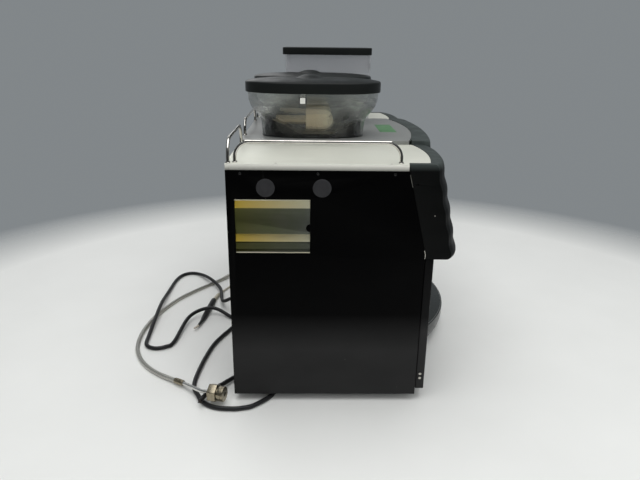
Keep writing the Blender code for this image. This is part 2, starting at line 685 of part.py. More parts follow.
def make_cover_plate():
    """Yellow passivated plate set in the left side, with a finger notch in its front edge."""
    near = PLUG_PROUD - SHEET / 2
    plate = add_object("cover_plate", block(
        (near, SHEET + GAP), (COVER_DEPTH + GAP, COVER_DEPTH + COVER_LENGTH - GAP),
        (COVER_Z + GAP, COVER_Z + COVER_HEIGHT - GAP)), (0.30, 0.26, 0.10), 0.35, 1.0)
    join(plate, block((SHEET + GAP, SHEET + GAP + COVER_SHEET),
                      (COVER_DEPTH - COVER_LIP, COVER_DEPTH + COVER_LENGTH + COVER_LIP),
                      (COVER_Z - COVER_LIP, COVER_Z + COVER_HEIGHT + COVER_LIP)))
    centre = at(-OVERRUN, COVER_DEPTH + COVER_LENGTH, COVER_Z + NOTCH_HEIGHT)
    cut(plate, turned(centre, (1, 0, 0), ((0, NOTCH_RADIUS), (2 * OVERRUN, NOTCH_RADIUS))))
    return plate


def make_hole_plug(name, depth):
    """Domed rubber plug in a hole of the left side panel."""
    shank = PLUG_HOLE_RADIUS - GAP
    profile = ((-PLUG_PROUD, PLUG_RADIUS * PLUG_FACE_SHARE), (-PLUG_PROUD * PLUG_EDGE_SHARE, PLUG_RADIUS),
               (-GAP, PLUG_RADIUS), (-GAP, shank), (PLUG_TAIL, shank))
    return add_object(name, turned(at(0, depth, PLUG_Z), (1, 0, 0), profile), (0.03, 0.03, 0.03), 0.7)


def make_base():
    """Folded base tray on a set back plinth."""
    low, high = INNER_SIDE, WIDTH - INNER_SIDE
    front = BODY_DEPTH - BASE_CLEAR
    rear = SHEET + BASE_CLEAR
    floor = block((low, high), (rear, front), (BASE_FLOOR_Z, BASE_FLOOR_Z + BASE_FLANGE))
    base = add_object("base_tray", floor, (0.10, 0.10, 0.10), 0.5, 0.6)
    above = (FLOOR_TOP, FLOOR_TOP + 2 * OVERRUN)
    cut(base, block((low + SHEET, high - SHEET), (rear + SHEET, front - SHEET), above))
    cut(base, block((BAY_SIDE, WIDTH - BAY_SIDE), (BAY_REAR, BODY_DEPTH + OVERRUN), above))
    join(base, block((PLINTH_INSET, WIDTH - PLINTH_INSET), (PLINTH_INSET, BODY_DEPTH - PLINTH_INSET),
                     (PLINTH_Z, BASE_FLOOR_Z + SHEET / 2)))
    return base


def make_foot(name, side, depth):
    """Round foot with a small chamfer under the plinth."""
    top = PLINTH_Z - GAP
    profile = ((0, FOOT_RADIUS * FOOT_TREAD_SHARE), (top * FOOT_CHAMFER_SHARE, FOOT_RADIUS * FOOT_EDGE_SHARE),
               (top, FOOT_RADIUS))
    return add_object(name, turned(at(side, depth, 0), (0, 0, 1), profile), (0.03, 0.03, 0.03), 0.8)


def make_rear_panel():
    """Sheet between the side panels, with holes behind the connection plate."""
    panel = add_object("rear_panel", block((INNER_SIDE, WIDTH - INNER_SIDE), (0, SHEET),
                                           (BODY_FOOT_Z, SHEET_FOOT_Z - GAP)), (0.09, 0.09, 0.09), 0.45, 0.5)
    cut(panel, block((PLATE_SIDE + OVERRUN, PLATE_SIDE + PLATE_WIDTH - OVERRUN), (-OVERRUN, OVERRUN),
                     (BODY_FOOT_Z + BASE_FLANGE + OVERRUN, PLATE_Z + PLATE_HEIGHT - OVERRUN)))
    return panel


def make_connection_plate():
    """Plate on the rear panel with the lead glands and the water inlet."""
    plate = add_object("connection_plate", block((PLATE_SIDE, PLATE_SIDE + PLATE_WIDTH),
                                                 (-PLATE_SHEET - GAP, -GAP), (PLATE_Z, PLATE_Z + PLATE_HEIGHT)),
                       STEEL, 0.4, 1.0)
    root = -GAP - PLATE_SHEET / 2
    for (side, height), radius in ((LEAD_GLAND, GLAND_RADIUS), (SIGNAL_GLAND, SIGNAL_GLAND_RADIUS),
                                   (WATER_INLET, INLET_RADIUS)):
        reach = REAR_REACH + root
        profile = ((0, radius), (reach * GLAND_BODY_SHARE, radius), (reach, radius * GLAND_TIP_SHARE))
        join(plate, turned(at(side, root, height), (0, 1, 0), profile))
    return plate


def strip_outline(grow=0.0):
    """Plan of the left stainless strip with its leaf-shaped front end."""
    inner = SPLIT_SIDE - GAP + grow
    leaf_side = STRIP_LEAF_SIDE - grow
    middle = (leaf_side + inner) / 2
    half = (inner - leaf_side) / 2
    steps = 12
    leaf = []
    for index in range(steps + 1):
        share = 1 - 2 * index / steps
        leaf.append((middle + half * share,
                     STRIP_LEAF_PEAK + grow - (STRIP_LEAF_PEAK - STRIP_LEAF_END) * share ** 2))
    edge = STRIP_EDGE_SIDE - grow
    return [(0, 0), (inner, 0), *leaf, (edge, TRIM_DEPTH + grow), (0, TRIM_DEPTH + grow)]


def make_top_strip(name, right):
    """Stainless top sheet folded down over the side as a bright band."""
    strip = add_object(name, plan_prism(mirrored_outline(strip_outline(), right), SHEET_FOOT_Z, TOP_Z),
                       STEEL, 0.32, 1.0)
    join(strip, block(sorted((mirrored(0, right), mirrored(SHEET, right))), (0, TRIM_DEPTH),
                      (SIDE_TOP_Z, TOP_Z - DECK_SKIN / 2)))
    return strip


def deck_outline(grow=0.0):
    """Plan of the centre deck with its leaf-shaped front end."""
    half = MIDDLE - SPLIT_SIDE - GAP + grow
    steps = 16
    leaf = []
    for index in range(steps + 1):
        share = 1 - 2 * index / steps
        leaf.append((MIDDLE + half * share,
                     DECK_LEAF_PEAK + grow - (DECK_LEAF_PEAK - DECK_LEAF_END) * share ** 2))
    return [(MIDDLE - half, DECK_REAR), (MIDDLE + half, DECK_REAR), *leaf]


def make_centre_deck():
    """Raised stainless deck, a shallow pan open underneath, with two bean throats."""
    deck = add_object("centre_deck", plan_prism(deck_outline(), SHEET_FOOT_Z, DECK_TOP), GREY, 0.35, 1.0)
    cut(deck, plan_prism(deck_outline(-DECK_SKIN), SHEET_FOOT_Z - OVERRUN, DECK_TOP - DECK_SKIN))
    for side in HOPPER_SIDES:
        cut(deck, turned(at(side, HOPPER_DEPTH, SHEET_FOOT_Z - OVERRUN), (0, 0, 1),
                         ((0, THROAT_RADIUS), (4 * OVERRUN, THROAT_RADIUS))))
    return deck


def rail_points(start, end, foot, top, corner):
    """Points of a rail: up from one foot, round a corner, along and down to the other foot."""
    run = (end - start).normalized()
    rise = Vector((0, 0, 1))
    points = [start + rise * foot]
    steps = 6
    angles = [math.pi / 2 * index / steps for index in range(steps + 1)]
    inward = [corner * (1 - math.cos(angle)) for angle in angles]
    upward = [top - corner * (1 - math.sin(angle)) for angle in angles]
    points += [start + run * along + rise * height for along, height in zip(inward, upward)]
    points += [end - run * along + rise * height for along, height in zip(inward[::-1], upward[::-1])]
    points.append(end + rise * foot)
    return points


def make_rail(name, start, end, foot, top, corner):
    """Chrome rod rail that stands on the top sheet."""
    points = rail_points(start, end, foot + GAP, top - ROD_RADIUS, corner)
    return curve_object(name, points, 2 * ROD_RADIUS, CHROME, 0.12, 1.0, 1)


def edge_round(height, top, foot):
    """How far the fascia's front is drawn back by its rounded foot and rim at a height."""
    back = 0.0
    if height < foot + FOOT_ROUND:
        rise = foot + FOOT_ROUND - height
        back += FOOT_ROUND - math.sqrt(max(0.0, FOOT_ROUND ** 2 - rise ** 2))
    if height > top - RIM_ROUND:
        rise = height - (top - RIM_ROUND)
        back += RIM_ROUND - math.sqrt(max(0.0, RIM_ROUND ** 2 - rise ** 2))
    return back


def fascia_levels(top, straight_steps):
    """Heights of a fascia's rings, closer at its rounded foot and rim."""
    foot = FASCIA_FOOT_Z
    angles = [math.pi / 2 * index / ROUND_STEPS for index in range(ROUND_STEPS)]
    low = [foot + FOOT_ROUND * (1 - math.cos(angle)) for angle in angles]
    first, last = foot + FOOT_ROUND, top - RIM_ROUND
    straight = [first + (last - first) * index / straight_steps for index in range(straight_steps + 1)]
    high = [top - RIM_ROUND * (1 - math.sin(math.pi / 2 - math.pi / 2 * (1 - index / ROUND_STEPS)))
            for index in range(1, ROUND_STEPS + 1)]
    return low + straight + high


def make_side_fascia(name, right):
    """Side lobe: a hollow column with a scalloped front and a rim round the leaf."""
    near, far = FASCIA_SIDE_GAP, SPLIT_SIDE - GAP
    shares = smooth_points([(a, b, 0) for a, b in LOBE_EDGE_SHARES], LOBE_POINTS)[0]
    rings = []
    heights = sorted(fascia_levels(RIM_TOP, LOBE_STEPS) + [SEAM_KNEE_Z, SIDE_TOP_Z])
    for height in heights:
        fall = max(0.0, SHEET_FOOT_Z - height)
        lean = LOBE_SLOPE * fall + SCALLOP_HEIGHT * (1 - math.cos(2 * math.pi * fall / SCALLOP_PITCH))
        back = edge_round(height, RIM_TOP, FASCIA_FOOT_Z)
        ring = [(far, seam_depth(height) + GAP), (near, seam_depth(height) + GAP)]
        for share in shares:
            ring.append((near + (far - near) * share[0],
                         LOBE_ROOT_DEPTH + LOBE_BULGE * share[1] + lean - back))
        rings.append([at(mirrored(s, right), d, height) for s, d in ring])
    fascia = add_object(name, loft(rings), CHARCOAL, 0.5)
    cut(fascia, plan_prism(mirrored_outline(strip_outline(GAP), right), SHEET_FOOT_Z - GAP, TOP_Z + OVERRUN))
    hollow = sorted((mirrored(near + FASCIA_WALL, right), mirrored(far - FASCIA_WALL, right)))
    cut(fascia, block(hollow, (SEAM_TOP_DEPTH - OVERRUN, LOBE_ROOT_DEPTH - FASCIA_WALL),
                      (FASCIA_FOOT_Z + FASCIA_WALL, SHEET_FOOT_Z - FASCIA_WALL)))
    return fascia


def centre_edge():
    """Plan of the centre lobe's front edge, from left to right."""
    half = MIDDLE - SPLIT_SIDE - GAP
    end = CORNER_SHARES[-1][0]
    table = [(-share, CENTRE_PEAK_DEPTH - (CENTRE_PEAK_DEPTH - CENTRE_END_DEPTH) * share ** 2
              - CENTRE_CORNER_DEPTH * drop) for share, drop in CORNER_SHARES]
    inner = CENTRE_POINTS - 2 * len(CORNER_SHARES)
    for index in range(1, inner + 1):
        share = -end + 2 * end * index / (inner + 1)
        table.append((share, CENTRE_PEAK_DEPTH - (CENTRE_PEAK_DEPTH - CENTRE_END_DEPTH) * share ** 2))
    table += [(-share, depth) for share, depth in reversed(table[:len(CORNER_SHARES)])]
    return [(MIDDLE + half * share, depth) for share, depth in table]


def panel_frame():
    """Origin and directions of the sloped control panel: across, up its face, and outward."""
    slope = math.atan(CENTRE_SLOPE)
    across = Vector((1, 0, 0))
    up = Vector((0, math.sin(slope), math.cos(slope)))
    outward = Vector((0, -math.cos(slope), math.sin(slope)))
    return at(MIDDLE, PANEL_DEPTH, PANEL_Z), across, up, outward


def panel_block(across_pair, up_pair, out_pair):
    """A box in the control panel's own directions."""
    centre, across, up, outward = panel_frame()
    corners = [centre + across * a + up * b + outward * out_pair[0]
               for a, b in ((across_pair[0], up_pair[0]), (across_pair[1], up_pair[0]),
                            (across_pair[1], up_pair[1]), (across_pair[0], up_pair[1]))]
    return extrude_outline(corners, outward * (out_pair[1] - out_pair[0]))


def make_centre_fascia():
    """Centre lobe: hollow head over the cup space, with a pocket for the controls."""
    edge = centre_edge()
    rings = []
    for height in fascia_levels(CENTRE_RIM_TOP, CENTRE_STEPS):
        lean = CENTRE_SLOPE * max(0.0, DECK_TOP - height)
        back = edge_round(height, CENTRE_RIM_TOP, FASCIA_FOOT_Z)
        ring = [(edge[-1][0], FASCIA_BACK_DEPTH), (edge[0][0], FASCIA_BACK_DEPTH)]
        ring += [(s, d + lean - back) for s, d in edge]
        rings.append([at(s, d, height) for s, d in ring])
    fascia = add_object("fascia_centre", loft(rings), CHARCOAL, 0.5)
    cut(fascia, plan_prism(deck_outline(GAP), SHEET_FOOT_Z - GAP, DECK_TOP + OVERRUN))
    cut(fascia, block((SPLIT_SIDE + FASCIA_WALL, WIDTH - SPLIT_SIDE - FASCIA_WALL),
                      (FASCIA_BACK_DEPTH - OVERRUN, HOLLOW_DEPTH),
                      (FASCIA_FOOT_Z + FASCIA_WALL, SHEET_FOOT_Z - FASCIA_WALL)))
    cut(fascia, panel_block((-PANEL_HALF_WIDTH, PANEL_HALF_WIDTH), (-PANEL_HALF_HEIGHT, PANEL_HALF_HEIGHT),
                            (-POCKET_DEPTH, 4 * OVERRUN)))
    cut(fascia, block((MIDDLE - SPOUT_STEM_HALF - RUNNING_GAP, MIDDLE + SPOUT_STEM_HALF + RUNNING_GAP),
                      (SPOUT_STEM_REAR - RUNNING_GAP, SPOUT_STEM_REAR + SPOUT_STEM_LENGTH + RUNNING_GAP),
                      (FASCIA_FOOT_Z - OVERRUN, FASCIA_FOOT_Z + FASCIA_WALL + OVERRUN)))
    return fascia


def button_places():
    """Places of the buttons on the panel: two each side of the display."""
    return [(across, up) for across in (-BUTTON_SIDE, BUTTON_SIDE) for up in (BUTTON_RISE, -BUTTON_RISE)]


def panel_cylinder(place, profile):
    """A turned shape square to the control panel, its profile measured outward from the face."""
    centre, across, up, outward = panel_frame()
    return turned(centre + across * place[0] + up * place[1], outward, profile)


def make_controls():
    """Panel plate, display window, buttons and the board behind them."""
    width, height = PANEL_HALF_WIDTH - GAP, PANEL_HALF_HEIGHT - GAP
    plate = add_object("control_panel", panel_block((-width, width), (-height, height), (-PANEL_SHEET, 0)),
                       (0.02, 0.02, 0.022), 0.25)
    cut(plate, panel_block((-DISPLAY_HALF_WIDTH, DISPLAY_HALF_WIDTH),
                           (-DISPLAY_HALF_HEIGHT, DISPLAY_HALF_HEIGHT), (-OVERRUN, OVERRUN)))
    hole = BUTTON_RADIUS + RUNNING_GAP
    for place in button_places():
        cut(plate, panel_cylinder(place, ((-OVERRUN, hole), (OVERRUN, hole))))
    inner_width, inner_height = DISPLAY_HALF_WIDTH - GAP, DISPLAY_HALF_HEIGHT - GAP
    window = panel_block((-inner_width, inner_width), (-inner_height, inner_height), (-PANEL_SHEET, -GAP))
    add_object("display_window", window, (0.05, 0.09, 0.12), 0.08)
    flange_front = -PANEL_SHEET - GAP
    flange_back = flange_front - BUTTON_FLANGE_SHEET
    for index, place in enumerate(button_places(), 1):
        profile = ((flange_back, BUTTON_RADIUS + BUTTON_FLANGE), (flange_front, BUTTON_RADIUS + BUTTON_FLANGE),
                   (flange_front, BUTTON_RADIUS), (BUTTON_PROUD * BUTTON_SIDE_SHARE, BUTTON_RADIUS),
                   (BUTTON_PROUD, BUTTON_RADIUS * BUTTON_FACE_SHARE))
        add_object(f"button_{index}", panel_cylinder(place, profile), (0.45, 0.46, 0.47), 0.35)
    board_front = flange_back - BUTTON_TRAVEL - GAP
    add_object("control_board", panel_block((-width, width), (-height, height),
                                            (board_front - BOARD_SHEET, board_front)), (0.02, 0.12, 0.05), 0.5)


def door_outline(right):
    """Plan of a lower front panel, bowed forward towards the cup bay."""
    back = BODY_DEPTH + FRONT_GAP
    edge = back + DOOR_EDGE_THICKNESS
    steps = 8
    outline = [(DOOR_SIDE + DOOR_WIDTH, back), (DOOR_SIDE, back)]
    for index in range(steps + 1):
        share = index / steps
        outline.append((DOOR_SIDE + DOOR_WIDTH * share, edge + DOOR_BOW * math.sin(math.pi / 2 * share)))
    return mirrored_outline(outline, right)


def make_lower_fronts():
    """Grounds drawer front and bin on the left, service door on the right."""
    top = FASCIA_FOOT_Z - FRONT_GAP / 2
    add_object("drawer_front", plan_prism(door_outline(False), DOOR_Z, top), (0.03, 0.03, 0.032), 0.45)
    add_object("service_door", plan_prism(door_outline(True), DOOR_Z, top), (0.03, 0.03, 0.032), 0.45)
    low = BASE_FLOOR_Z + BASE_FLANGE + GAP
    high = SHELF_Z - BIN_HEADROOM
    bin_front = BODY_DEPTH + FRONT_GAP - GAP
    grounds = add_object("grounds_bin", block((BIN_SIDE, BIN_SIDE + BIN_WIDTH), (BIN_REAR, bin_front),
                                              (low, high)), (0.04, 0.04, 0.042), 0.5)
    cut(grounds, block((BIN_SIDE + BIN_WALL, BIN_SIDE + BIN_WIDTH - BIN_WALL),
                       (BIN_REAR + BIN_WALL, bin_front - BIN_WALL), (low + BIN_WALL, high + OVERRUN)))


def make_inner_frame():
    """Shelf under the works, with the cup bay's side and back walls hanging from it to the floor."""
    shelf = add_object("inner_frame", block((INNER_SIDE, WIDTH - INNER_SIDE), (SHEET + GAP, BODY_DEPTH - GAP),
                                            (SHELF_Z, SHELF_TOP)), (0.30, 0.30, 0.30), 0.4, 1.0)
    foot = FLOOR_TOP + GAP
    front = BODY_DEPTH - GAP
    low, high = BAY_SIDE, WIDTH - BAY_SIDE
    outline = [(low, front), (low, BAY_REAR), (high, BAY_REAR), (high, front), (high - SHEET, front),
               (high - SHEET, BAY_REAR + SHEET), (low + SHEET, BAY_REAR + SHEET), (low + SHEET, front)]
    join(shelf, plan_prism(outline, foot, SHELF_Z + SHEET / 2))
    return shelf


def tray_outline(inset, rear):
    """Plan of the drip tray with its bowed front."""
    low, high = TRAY_SIDE + inset, WIDTH - TRAY_SIDE - inset
    half = MIDDLE - TRAY_SIDE
    radius = (half ** 2 + TRAY_BULGE ** 2) / (2 * TRAY_BULGE) - inset
    centre_depth = TRAY_REACH - inset - radius
    steps = 16
    outline = [(low, rear), (high, rear)]
    for index in range(steps + 1):
        side = high + (low - high) * index / steps
        outline.append((side, centre_depth + math.sqrt(radius ** 2 - (side - MIDDLE) ** 2)))
    return outline


def make_drip_tray():
    """Tray in the cup bay with a deep bowed nose, and the slotted grid that lies in it."""
    foot = FLOOR_TOP + GAP
    nose_rear = BODY_DEPTH + FRONT_GAP
    tray = add_object("drip_tray", plan_prism(tray_outline(0, TRAY_REAR), foot, TRAY_TOP_Z), CHARCOAL, 0.3)
    join(tray, plan_prism(tray_outline(0, nose_rear), TRAY_NOSE_Z, foot + TRAY_WALL))
    basin = tray_outline(TRAY_WALL, TRAY_REAR + TRAY_WALL)
    cut(tray, plan_prism(basin, foot + TRAY_WALL, TRAY_TOP_Z + OVERRUN))
    nose = tray_outline(TRAY_WALL, nose_rear + TRAY_WALL)
    cut(tray, plan_prism(nose, TRAY_NOSE_Z + TRAY_WALL, foot + 2 * TRAY_WALL))
    ledge = TRAY_TOP_Z - GRID_SHEET - GAP
    rear_ledge = TRAY_REAR + TRAY_WALL / 2
    for pair in ((TRAY_SIDE + TRAY_WALL / 2, TRAY_SIDE + 2 * TRAY_WALL),
                 (WIDTH - TRAY_SIDE - 2 * TRAY_WALL, WIDTH - TRAY_SIDE - TRAY_WALL / 2)):
        join(tray, block(pair, (rear_ledge, BODY_DEPTH), (ledge - TRAY_WALL, ledge)))
    inset = TRAY_WALL + GAP
    sheet = plan_prism(tray_outline(inset, TRAY_REAR + inset), TRAY_TOP_Z - GRID_SHEET, TRAY_TOP_Z)
    grid = add_object("drip_grid", sheet, STEEL, 0.3, 1.0)
    span = WIDTH - 2 * TRAY_SIDE - 6 * TRAY_WALL
    pitch = span / GRID_SLOTS
    start = TRAY_REAR + 3 * inset
    for index in range(GRID_SLOTS):
        middle = MIDDLE + pitch * (index - (GRID_SLOTS - 1) / 2)
        cut(grid, block((middle - GRID_SLOT_WIDTH / 2, middle + GRID_SLOT_WIDTH / 2),
                        (start, start + GRID_SLOT_LENGTH), (TRAY_TOP_Z - 2 * OVERRUN, TRAY_TOP_Z + OVERRUN)))
    return tray


def make_spout():
    """Coffee spout: a head with two nozzles on a stem that slides in the machine's head."""
    front = SPOUT_REAR + SPOUT_LENGTH
    across = (MIDDLE - SPOUT_HALF_WIDTH, MIDDLE + SPOUT_HALF_WIDTH)
    shell = block(across, (SPOUT_REAR, front), (SPOUT_Z, SPOUT_Z + SPOUT_HEIGHT))
    head = add_object("coffee_spout", shell, BLACK, 0.35)
    join(head, block((MIDDLE - SPOUT_STEM_HALF, MIDDLE + SPOUT_STEM_HALF),
                     (SPOUT_STEM_REAR, SPOUT_STEM_REAR + SPOUT_STEM_LENGTH),
                     (SPOUT_Z + SPOUT_HEIGHT / 2, SPOUT_STEM_TOP)))
    for side in (MIDDLE - NOZZLE_SIDE, MIDDLE + NOZZLE_SIDE):
        base = at(side, SPOUT_REAR + SPOUT_LENGTH / 2, SPOUT_Z - NOZZLE_LENGTH)
        profile = ((0, NOZZLE_RADIUS * NOZZLE_TIP_SHARE), (NOZZLE_LENGTH, NOZZLE_RADIUS),
                   (NOZZLE_LENGTH * NOZZLE_ROOT_SHARE, NOZZLE_RADIUS))
        join(head, turned(base, (0, 0, 1), profile))
    return head


def wand_points():
    """Points of the steam pipe below its ball."""
    top = FASCIA_FOOT_Z - GAP - WAND_BALL
    drop_shares = (0.0, 2.4, 4.2, 7.5, 11.5)
    reach_shares = (0.0, 0.0, 0.35, 1.5, 2.7)
    return [at(WAND_SIDE, WAND_DEPTH + WAND_BALL * reach, top - WAND_BALL * drop)
            for drop, reach in zip(drop_shares, reach_shares)]


def make_wand():
    """Steam pipe that swings on a ball under the head."""
    route = wand_points()
    points = smooth_points(route, WAND_STEPS)[0]
    wand = add_object("steam_wand", sweep(points, WAND_RADIUS, WAND_SIDES), STEEL, 0.2, 1.0)
    ball = bmesh.new()
    bmesh.ops.create_uvsphere(ball, u_segments=16, v_segments=8, radius=WAND_BALL,
                              matrix=Matrix.Translation(route[0]))
    join(wand, ball)
    return wand


def make_hopper(label, side):
    """Bean hopper: black base with a V funnel, clear bowl, lid and the paddle in the outlet."""
    base_foot = DECK_TOP + GAP
    flange_top = base_foot + BASE_RIM_SHEET
    levels = ((base_foot, BASE_RIM), (flange_top, BASE_RIM), (flange_top, 0), (BASE_TOP_Z, 0))
    rings = [oval_loop(side, HOPPER_DEPTH, height, BASE_HALF_LONG + grow, BASE_HALF_SHORT + grow)
             for height, grow in levels]
    base = add_object(f"hopper_base_{label}", loft(rings), BLACK, 0.3)
    rear, front = HOPPER_DEPTH - BASE_HALF_LONG, HOPPER_DEPTH + BASE_HALF_LONG
    rim = STEM_RADIUS * FUNNEL_RIM_SHARE
    trough_rear, trough_front = PADDLE_REAR - rim, PADDLE_FRONT
    trough_z = PADDLE_Z - PADDLE_HALF_HEIGHT - STEM_RADIUS / 2
    funnel = [(rear + rim, BASE_TOP_Z + OVERRUN), (rear + rim, BASE_TOP_Z),
              (trough_rear, trough_z), (trough_front, trough_z), (front - STEM_RADIUS * 2, BASE_FRONT_Z),
              (front + OVERRUN, BASE_FRONT_Z), (front + OVERRUN, BASE_TOP_Z + OVERRUN)]
    reach = BASE_HALF_SHORT + OVERRUN
    cut(base, side_prism(funnel, side - reach, side + reach))
    cut(base, turned(at(side, (PADDLE_REAR + PADDLE_FRONT) / 2, base_foot - OVERRUN), (0, 0, 1),
                     ((0, OUTLET_RADIUS), (3 * OVERRUN, OUTLET_RADIUS))))
    bore = STEM_RADIUS + STEM_CLEAR
    reach = PADDLE_REAR - STEM_REAR
    cut(base, turned(at(side, STEM_REAR - GAP, PADDLE_Z), (0, -1, 0), ((0, bore), (reach, bore))))

    foot_z = flange_top + GAP
    wall_half = (BOWL_WALL_HALF_LONG, BOWL_WALL_HALF_SHORT)
    levels = ((foot_z, (BOWL_FOOT_HALF_LONG, BOWL_FOOT_HALF_SHORT)),
              (BOWL_LOW_Z, (BOWL_LOW_HALF_LONG, BOWL_LOW_HALF_SHORT)),
              (BOWL_WALL_Z, wall_half), (LID_FOOT_Z, wall_half), (BOWL_TOP_Z, wall_half))
    outer = [oval_loop(side, HOPPER_DEPTH, z, half[0], half[1]) for z, half in levels]
    inner = [oval_loop(side, HOPPER_DEPTH, z, half[0] - BOWL_WALL, half[1] - BOWL_WALL) for z, half in levels]
    add_object(f"hopper_bowl_{label}", loft(outer + inner[::-1], closed_ring=True), CLEAR, 0.05, 0.0, 0.3)

    lid_long, lid_short = LID_HALF_LONG, LID_HALF_SHORT
    inside = BOWL_TOP_Z + GAP
    rings = [oval_loop(side, HOPPER_DEPTH, inside, lid_long - LID_WALL, lid_short - LID_WALL),
             oval_loop(side, HOPPER_DEPTH, LID_FOOT_Z, lid_long - LID_WALL, lid_short - LID_WALL),
             oval_loop(side, HOPPER_DEPTH, LID_FOOT_Z, lid_long, lid_short),
             oval_loop(side, HOPPER_DEPTH, LID_RIM_Z - LID_WALL / 2, lid_long, lid_short)]
    rings += [oval_loop(side, HOPPER_DEPTH, LID_RIM_Z + (LID_DOME_Z - LID_RIM_Z) * rise, lid_long * share,
                        lid_short * share) for share, rise in DOME_SHARES]
    lid = add_object(f"hopper_lid_{label}", loft(rings), BLACK, 0.3)
    grip = [oval_loop(side, HOPPER_DEPTH - LID_WALL * 2, LID_DOME_Z + (LID_GRIP_Z - LID_DOME_Z) * rise,
                      LID_GRIP_HALF_LONG * share, LID_GRIP_HALF_SHORT * share, 24)
            for share, rise in GRIP_SHARES]
    join(lid, loft(grip))

    low, high = PADDLE_Z - PADDLE_HALF_HEIGHT, PADDLE_Z + PADDLE_HALF_HEIGHT
    round_centre = PADDLE_FRONT - PADDLE_HALF_HEIGHT
    outline = [(PADDLE_REAR, high), (PADDLE_REAR, low)]
    steps = 10
    for index in range(steps + 1):
        angle = -math.pi / 2 + math.pi * index / steps
        outline.append((round_centre + PADDLE_HALF_HEIGHT * math.cos(angle),
                        PADDLE_Z + PADDLE_HALF_HEIGHT * math.sin(angle)))
    half = PADDLE_THICKNESS / 2
    paddle = add_object(f"shutter_paddle_{label}", side_prism(outline, side - half, side + half), BEIGE, 0.45)
    join(paddle, turned(at(side, STEM_REAR, PADDLE_Z), (0, -1, 0),
                        ((0, STEM_RADIUS), (reach + STEM_RADIUS, STEM_RADIUS))))


def rounded_plan(low, high, rear, front, corner, steps=4):
    """Plan of a box with rounded corners."""
    outline = []
    for side, depth, turn in ((high - corner, front - corner, 0), (low + corner, front - corner, 1),
                              (low + corner, rear + corner, 2), (high - corner, rear + corner, 3)):
        for index in range(steps + 1):
            angle = math.pi / 2 * (turn + index / steps)
            outline.append((side + corner * math.cos(angle), depth + corner * math.sin(angle)))
    return outline


def make_powder_hopper():
    """Tall clear powder container with a flat lid hinged at the rear."""
    low, high = POWDER_SIDE - POWDER_HALF_WIDTH, POWDER_SIDE + POWDER_HALF_WIDTH
    front = POWDER_REAR + POWDER_LENGTH
    foot = TOP_Z + GAP
    outline = rounded_plan(low, high, POWDER_REAR, front, POWDER_CORNER)
    body = add_object("powder_hopper", plan_prism(outline, foot, POWDER_TOP_Z), CLEAR, 0.2, 0.0, 0.35)
    inner = rounded_plan(low + POWDER_WALL, high - POWDER_WALL, POWDER_REAR + POWDER_WALL, front - POWDER_WALL,
                         POWDER_CORNER - POWDER_WALL)
    cut(body, plan_prism(inner, foot + POWDER_WALL, POWDER_TOP_Z + OVERRUN))
    lid_front = POWDER_LID_REAR + POWDER_LID_LENGTH
    lid = rounded_plan(low - POWDER_LID_OVERLAP, high + POWDER_LID_OVERLAP, POWDER_LID_REAR, lid_front,
                       POWDER_CORNER)
    lid_foot = POWDER_TOP_Z + GAP
    add_object("powder_lid", plan_prism(lid, lid_foot, lid_foot + POWDER_LID_HEIGHT), BLACK, 0.35)


def make_works():
    """Grinders, brew group, boiler and pump on the shelf and the floor."""
    foot = SHELF_TOP + GAP
    for label, side in zip(("left", "right"), HOPPER_SIDES):
        top = SHEET_FOOT_Z - GAP
        profile = ((0, GRINDER_RADIUS), (GRINDER_BODY_TOP - foot, GRINDER_RADIUS),
                   (top - foot - GRINDER_THROAT, GRINDER_THROAT), (top - foot, GRINDER_THROAT))
        add_object(f"grinder_{label}", turned(at(side, HOPPER_DEPTH, foot), (0, 0, 1), profile),
                   (0.35, 0.35, 0.36), 0.4, 0.8)
    waist = BREW_RADIUS * BREW_WAIST_SHARE
    shoulder = BREW_TOP - foot - BREW_RADIUS
    profile = ((0, BREW_RADIUS), (BREW_RADIUS, BREW_RADIUS), (BREW_RADIUS, waist), (shoulder, waist),
               (shoulder, BREW_RADIUS), (BREW_TOP - foot, BREW_RADIUS))
    add_object("brew_group", turned(at(MIDDLE, BREW_DEPTH, foot), (0, 0, 1), profile), GREY, 0.3, 0.9)
    boiler_z = foot + BOILER_RISE + BOILER_RADIUS
    dome = BOILER_RADIUS * BOILER_DOME_SHARE
    end = BOILER_RADIUS * BOILER_END_SHARE
    profile = ((0, end), (dome, BOILER_RADIUS), (BOILER_LENGTH - dome, BOILER_RADIUS), (BOILER_LENGTH, end))
    boiler = add_object("boiler", turned(at(BOILER_SIDE, BOILER_DEPTH, boiler_z), (1, 0, 0), profile),
                        STEEL, 0.3, 1.0)
    for share in (0.25, 0.75):
        middle = BOILER_SIDE + BOILER_LENGTH * share
        join(boiler, block((middle - SADDLE_SHEET / 2, middle + SADDLE_SHEET / 2),
                           (BOILER_DEPTH - BOILER_RADIUS / 2, BOILER_DEPTH + BOILER_RADIUS / 2),
                           (foot, boiler_z - BOILER_RADIUS / 2)))
    pump_foot = FLOOR_TOP + GAP
    pump_z = pump_foot + PUMP_RISE + PUMP_RADIUS
    neck = PUMP_RADIUS * PUMP_NECK_SHARE
    profile = ((0, neck), (PUMP_LENGTH / 4, neck), (PUMP_LENGTH / 4, PUMP_RADIUS), (PUMP_LENGTH, PUMP_RADIUS))
    pump = add_object("pump", turned(at(PUMP_SIDE, PUMP_DEPTH, pump_z), (1, 0, 0), profile),
                      (0.25, 0.25, 0.26), 0.4, 0.8)
    half = PUMP_RADIUS * PUMP_FOOT_SHARE
    join(pump, block((PUMP_SIDE + PUMP_LENGTH / 2, PUMP_SIDE + PUMP_LENGTH * PUMP_FOOT_END_SHARE),
                     (PUMP_DEPTH - half, PUMP_DEPTH + half), (pump_foot, pump_z)))


def nut_axis():
    """The union nut's face centre and direction, away from the hose."""
    start, end = at(*TAIL_ROUTE[-3]), at(*TAIL_ROUTE[-1])
    return start, (end - start).normalized()


